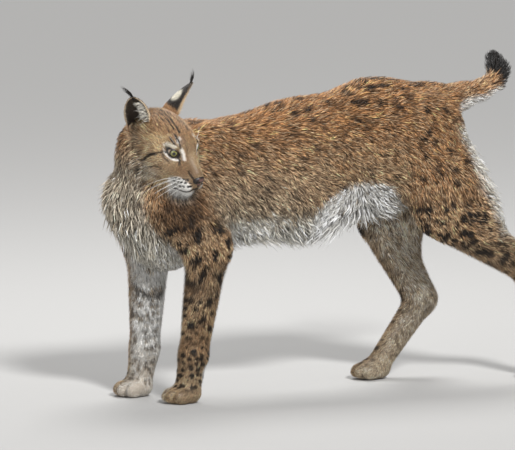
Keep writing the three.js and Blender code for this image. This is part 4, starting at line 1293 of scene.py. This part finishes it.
def ear_back_colour(rise, turn):
    """Black back with a pale patch in its middle, and a sandy rim."""
    return mixed(
        DARK * 1.3,
        GREY * 1.25, 0.9 * ramp(np.hypot((turn - 0.55) / 0.24, (rise - 0.45) / 0.24), 1.0, 0.6),
        SANDY, ramp(np.minimum(turn, 1 - turn), 0.11, 0.05),
        TAWNY, ramp(rise, 0.16, 0.02),
    )


class Ear:
    """A cup on the head with its hair. Rise goes from its base to its tip, turn from 0 to 1 round it."""

    def __init__(self, name):
        self.name = name
        self.hand = HANDS[name]
        self.root = from_head((-47, 48 * self.hand, 28))
        self.up = unit(head_direction((0, 39 * self.hand, 64)))
        self.side = unit(np.cross(self.up, head_direction(EAR_OPENINGS[name])))
        self.opening = np.cross(self.side, self.up)
        self.axis = (self.root, self.root + self.up * EAR_LENGTH, self.opening)

    def places(self, rise, turn, inner):
        """Places on the cup, inner from 0 on its back to 1 in its hollow."""
        high = np.maximum(rise, 0)
        half = (EAR_WIDTH / 2) * np.maximum(1 - high**2.3, 0.02) ** 0.7 + 1
        deep = half * (0.75 - 0.35 * high)
        wrap = np.radians(32 * (1 - high) ** 2)
        angle = -wrap + (np.pi + 2 * wrap) * turn
        thin = inner * EAR_RIM * 0.6 * (1 - 0.6 * high) + EAR_INSET
        offset = [(half - thin) * np.cos(angle), EAR_LENGTH * rise, (thin - deep) * np.sin(angle)]
        return self.root + np.stack(offset, 1) @ np.array((self.side, self.up, self.opening))

    def shell(self, rings=30, around=22):
        """The cup itself, black behind and dark inside."""
        turns = np.linspace(0, 1, around)
        places, colours = [], []
        for height in np.linspace(-0.3, 1, rings):
            rise = np.full(around, height)
            places += [self.places(rise, turns, 0), self.places(rise, turns[::-1], 1)]
            colours += [ear_back_colour(rise, turns), np.tile(EAR_HOLLOW, (around, 1))]
        quads = revolved(rings, 2 * around)
        paint = np.concatenate(colours) * 0.6
        piece = mesh_piece(f"ear_shell_{self.name}", FUR, "ear_fur", np.concatenate(places), quads, paint)
        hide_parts(f"ear_{self.name}")

    def hairs(self, start, normal, flow, length, height, width, colour, rings=1):
        """Places, faces, colours and UVs of hairs from their starts."""
        normal = np.broadcast_to(normal, start.shape)
        path, across = hair_path(start, normal, unit(without(flow, normal)), length, height, rings, 0.4)
        tip = np.clip(colour * 1.2, 0, BRIGHTEST)
        return hair_mesh(path, across, normal, width, colour, tip, rings, start, self.axis)

    def outward(self, rise, turn):
        """Directions out of the cup's back."""
        step = 0.01
        along = self.places(rise + step, turn, 0) - self.places(rise - step, turn, 0)
        round_it = self.places(rise, turn + step, 0) - self.places(rise, turn - step, 0)
        normal = unit(np.cross(round_it, along))
        middle = self.places(rise, np.full(len(rise), 0.5), 0) + self.opening * 8
        return normal * np.sign((normal * (self.places(rise, turn, 0) - middle)).sum(1))[:, None]

    def back_fur(self, count=6000):
        rise, turn = 0.02 + 0.95 * rng.random(count) ** 0.85, rng.random(count)
        colour = ear_back_colour(rise, turn) * rng.uniform(0.7, 1.3, (count, 1))
        flow = self.up + 0.16 * rng.standard_normal((count, 3))
        width, length, height = [rng.uniform(*limits, count) for limits in ((0.8, 1.3), (4, 8), (0.5, 1.6))]
        start = self.places(rise, turn, 0)
        return self.hairs(start, self.outward(rise, turn), flow, length, height, width, colour)

    def rim_fur(self, count=1700):
        rise, edge = 0.03 + 0.93 * rng.random(count), rng.integers(0, 2, count)
        turn = np.where(edge == 1, 1 - 0.03 * rng.random(count), 0.03 * rng.random(count))
        start = self.places(rise, turn, rng.random(count))
        inward = np.where(edge[:, None] == 1, self.side, -self.side)
        flow = 0.75 * self.up + 0.35 * self.opening + 0.15 * rng.standard_normal((count, 3))
        colour = mixed(SANDY, CREAM, rng.random(count)) * rng.uniform(0.7, 1.15, (count, 1))
        length = np.where(rng.random(count) < 0.15, rng.uniform(8, 15, count), rng.uniform(3, 7, count))
        length = length * (1 - 0.5 * rise)
        height, width = length * rng.uniform(0.1, 0.6, count), rng.uniform(0.6, 1.0, count)
        return self.hairs(start, unit(0.8 * self.opening - 0.4 * inward), flow, length, height, width, colour)

    def down(self, count=1500):
        """Short dark down in the hollow."""
        rise, turn = 0.02 + 0.9 * rng.random(count), 0.04 + 0.92 * rng.random(count)
        colour = EAR_HOLLOW * 1.6 * rng.uniform(0.5, 1.8, (count, 1))
        flow = self.up + 0.3 * rng.standard_normal((count, 3))
        length, height, width = [rng.uniform(*limits, count) for limits in ((5, 9), (0.5, 2.0), (0.6, 1.0))]
        return self.hairs(self.places(rise, turn, 1), self.opening, flow, length, height, width, colour)

    def fan(self, count=120):
        """Long white hairs from the inner edge across the hollow."""
        rise = 0.02 + 0.72 * rng.random(count) ** 1.2
        inward = 0.03 + 0.30 * rng.random(count)
        start = self.places(rise, inward if self.hand < 0 else 1 - inward, 1)
        flow = self.side * self.hand * 0.9 + self.up * (0.7 - 1.2 * rng.random((count, 1)))
        flow = flow + 0.3 * rng.standard_normal((count, 3))
        length = rng.uniform(12, 30, count) * (1 - 0.5 * rise)
        colour = mixed(CREAM, WHITE, rng.random(count)) * rng.uniform(0.6, 1.1, (count, 1))
        height, width = length * rng.uniform(0.2, 0.5, count), rng.uniform(1.1, 2.0, count)
        return self.hairs(start, unit(self.opening), flow, length, height, width, colour, 3)

    def pencil(self, count=90):
        """The black tuft at the tip, drawn to a thin point."""
        tuft_way = unit(head_direction((-27, 19 * self.hand, 13)))
        base = self.root + self.up * EAR_LENGTH * rng.uniform(0.84, 1.0, (count, 1))
        base = base + self.side * 0.9 * rng.standard_normal((count, 1))
        base = base - self.opening * rng.uniform(0, 2.4, (count, 1))
        reach = EAR_TUFT * rng.uniform(0.5, 1.0, (count, 1))
        spread = self.side * rng.standard_normal((count, 1)) * 0.4
        spread = spread + self.opening * rng.standard_normal((count, 1)) * 0.3
        path = [
            base + reach * (self.up * s * (1.3 - s) + tuft_way * s * s) + spread * s
            for s in (0, 0.36, 0.7, 1)
        ]
        side, out = np.tile(self.side, (count, 1)), np.tile(self.opening, (count, 1))
        width = rng.uniform(0.6, 0.95, count)
        black = DARK * rng.uniform(0.6, 1.6, (count, 1))
        return hair_mesh(np.stack(path, 1), side, out, width, black, black, "pencil", base, self.axis)

    def hair(self):
        groups = [self.back_fur(), self.rim_fur(), self.down(), self.fan(), self.pencil()]
        places, faces, colours, uvs = zip(*groups)
        paint = np.clip(np.concatenate(colours), 0, BRIGHTEST)
        mesh_piece(
            f"ear_hair_{self.name}", FUR, "ear_fur", *joined(zip(places, faces)), paint, np.concatenate(uvs)
        )


for side_name in HANDS:
    ear = Ear(side_name)
    ear.shell()
    ear.hair()

# Camera: the photograph's long lens from the left front
CAMERA_AZIMUTH = math.radians(-28)
CAMERA_ELEVATION = math.radians(7)
CAMERA_DISTANCE = 30.0
ANIMAL_DEPTH = 0.15
FRAME_WIDTH = 1.0815
SENSOR_WIDTH = 36
TARGET_RIGHT = -0.113195
TARGET_UP = 0.344692


def aimed(name, data, place, back):
    """A camera or light at a place in metres, facing away from back."""
    side = unit(np.cross((0, 0, 1), back))
    matrix = np.eye(4)
    matrix[:3] = np.stack([side, np.cross(back, side), back, place], 1)
    thing = bpy.data.objects.new(name, data)
    thing.matrix_world = Matrix(matrix.tolist())
    bpy.context.collection.objects.link(thing)
    return thing


def place_camera():
    c, s = math.cos(CAMERA_AZIMUTH), math.sin(CAMERA_AZIMUTH)
    level = math.cos(CAMERA_ELEVATION)
    right, back = np.array((c, s, 0)), np.array((s * level, -c * level, math.sin(CAMERA_ELEVATION)))
    target = right * TARGET_RIGHT + np.cross(back, right) * TARGET_UP + SHIFT
    data = bpy.data.cameras.new("camera")
    data.sensor_width = SENSOR_WIDTH
    data.lens = SENSOR_WIDTH * CAMERA_DISTANCE / FRAME_WIDTH
    data.clip_end = 100
    place = target + back * (CAMERA_DISTANCE + ANIMAL_DEPTH)
    bpy.context.scene.camera = aimed("camera", data, place, back)


# Floor and studio light
FLOOR_HALF = 60.0
LIT_MIDDLE = (0, 0, 0.4)


def area_light(name, place, power, width):
    data = bpy.data.lights.new(name, "AREA")
    data.energy = power
    data.size = width
    aimed(name, data, place, unit(np.subtract(place, LIT_MIDDLE)))


def studio():
    mesh = bpy.data.meshes.new("floor")
    corners = [(FLOOR_HALF * x, FLOOR_HALF * y, 0) for x, y in ((-1, -1), (1, -1), (1, 1), (-1, 1))]
    mesh.from_pydata(corners, [], [(0, 1, 2, 3)])
    grey = (0.46, 0.455, 0.445, 1)
    paint = new_material("floor_paint", Base_Color=grey, Roughness=0.85, Specular_IOR_Level=0.2)
    mesh.materials.append(paint)
    floor = bpy.data.objects.new("floor", mesh)
    bpy.context.collection.objects.link(floor)
    key = bpy.data.lights.new("key", "SUN")
    key.energy = 3.6
    key.angle = math.radians(10)
    aimed("key", key, (0, 0, 0), unit((-0.10, -0.88, 0.66)))
    area_light("fill", (-3.2, -2.4, 1.3), 45, 2.5)
    area_light("top", (0.5, 1.4, 3.2), 80, 1.6)
    world = bpy.data.worlds.new("studio")
    bpy.context.scene.world = world
    world.use_nodes = True
    wire(world.node_tree, world.node_tree.nodes["Background"], Color=(0.95, 0.95, 0.96, 1), Strength=0.32)
    bpy.context.scene.view_settings.view_transform = "Standard"


place_camera()
studio()
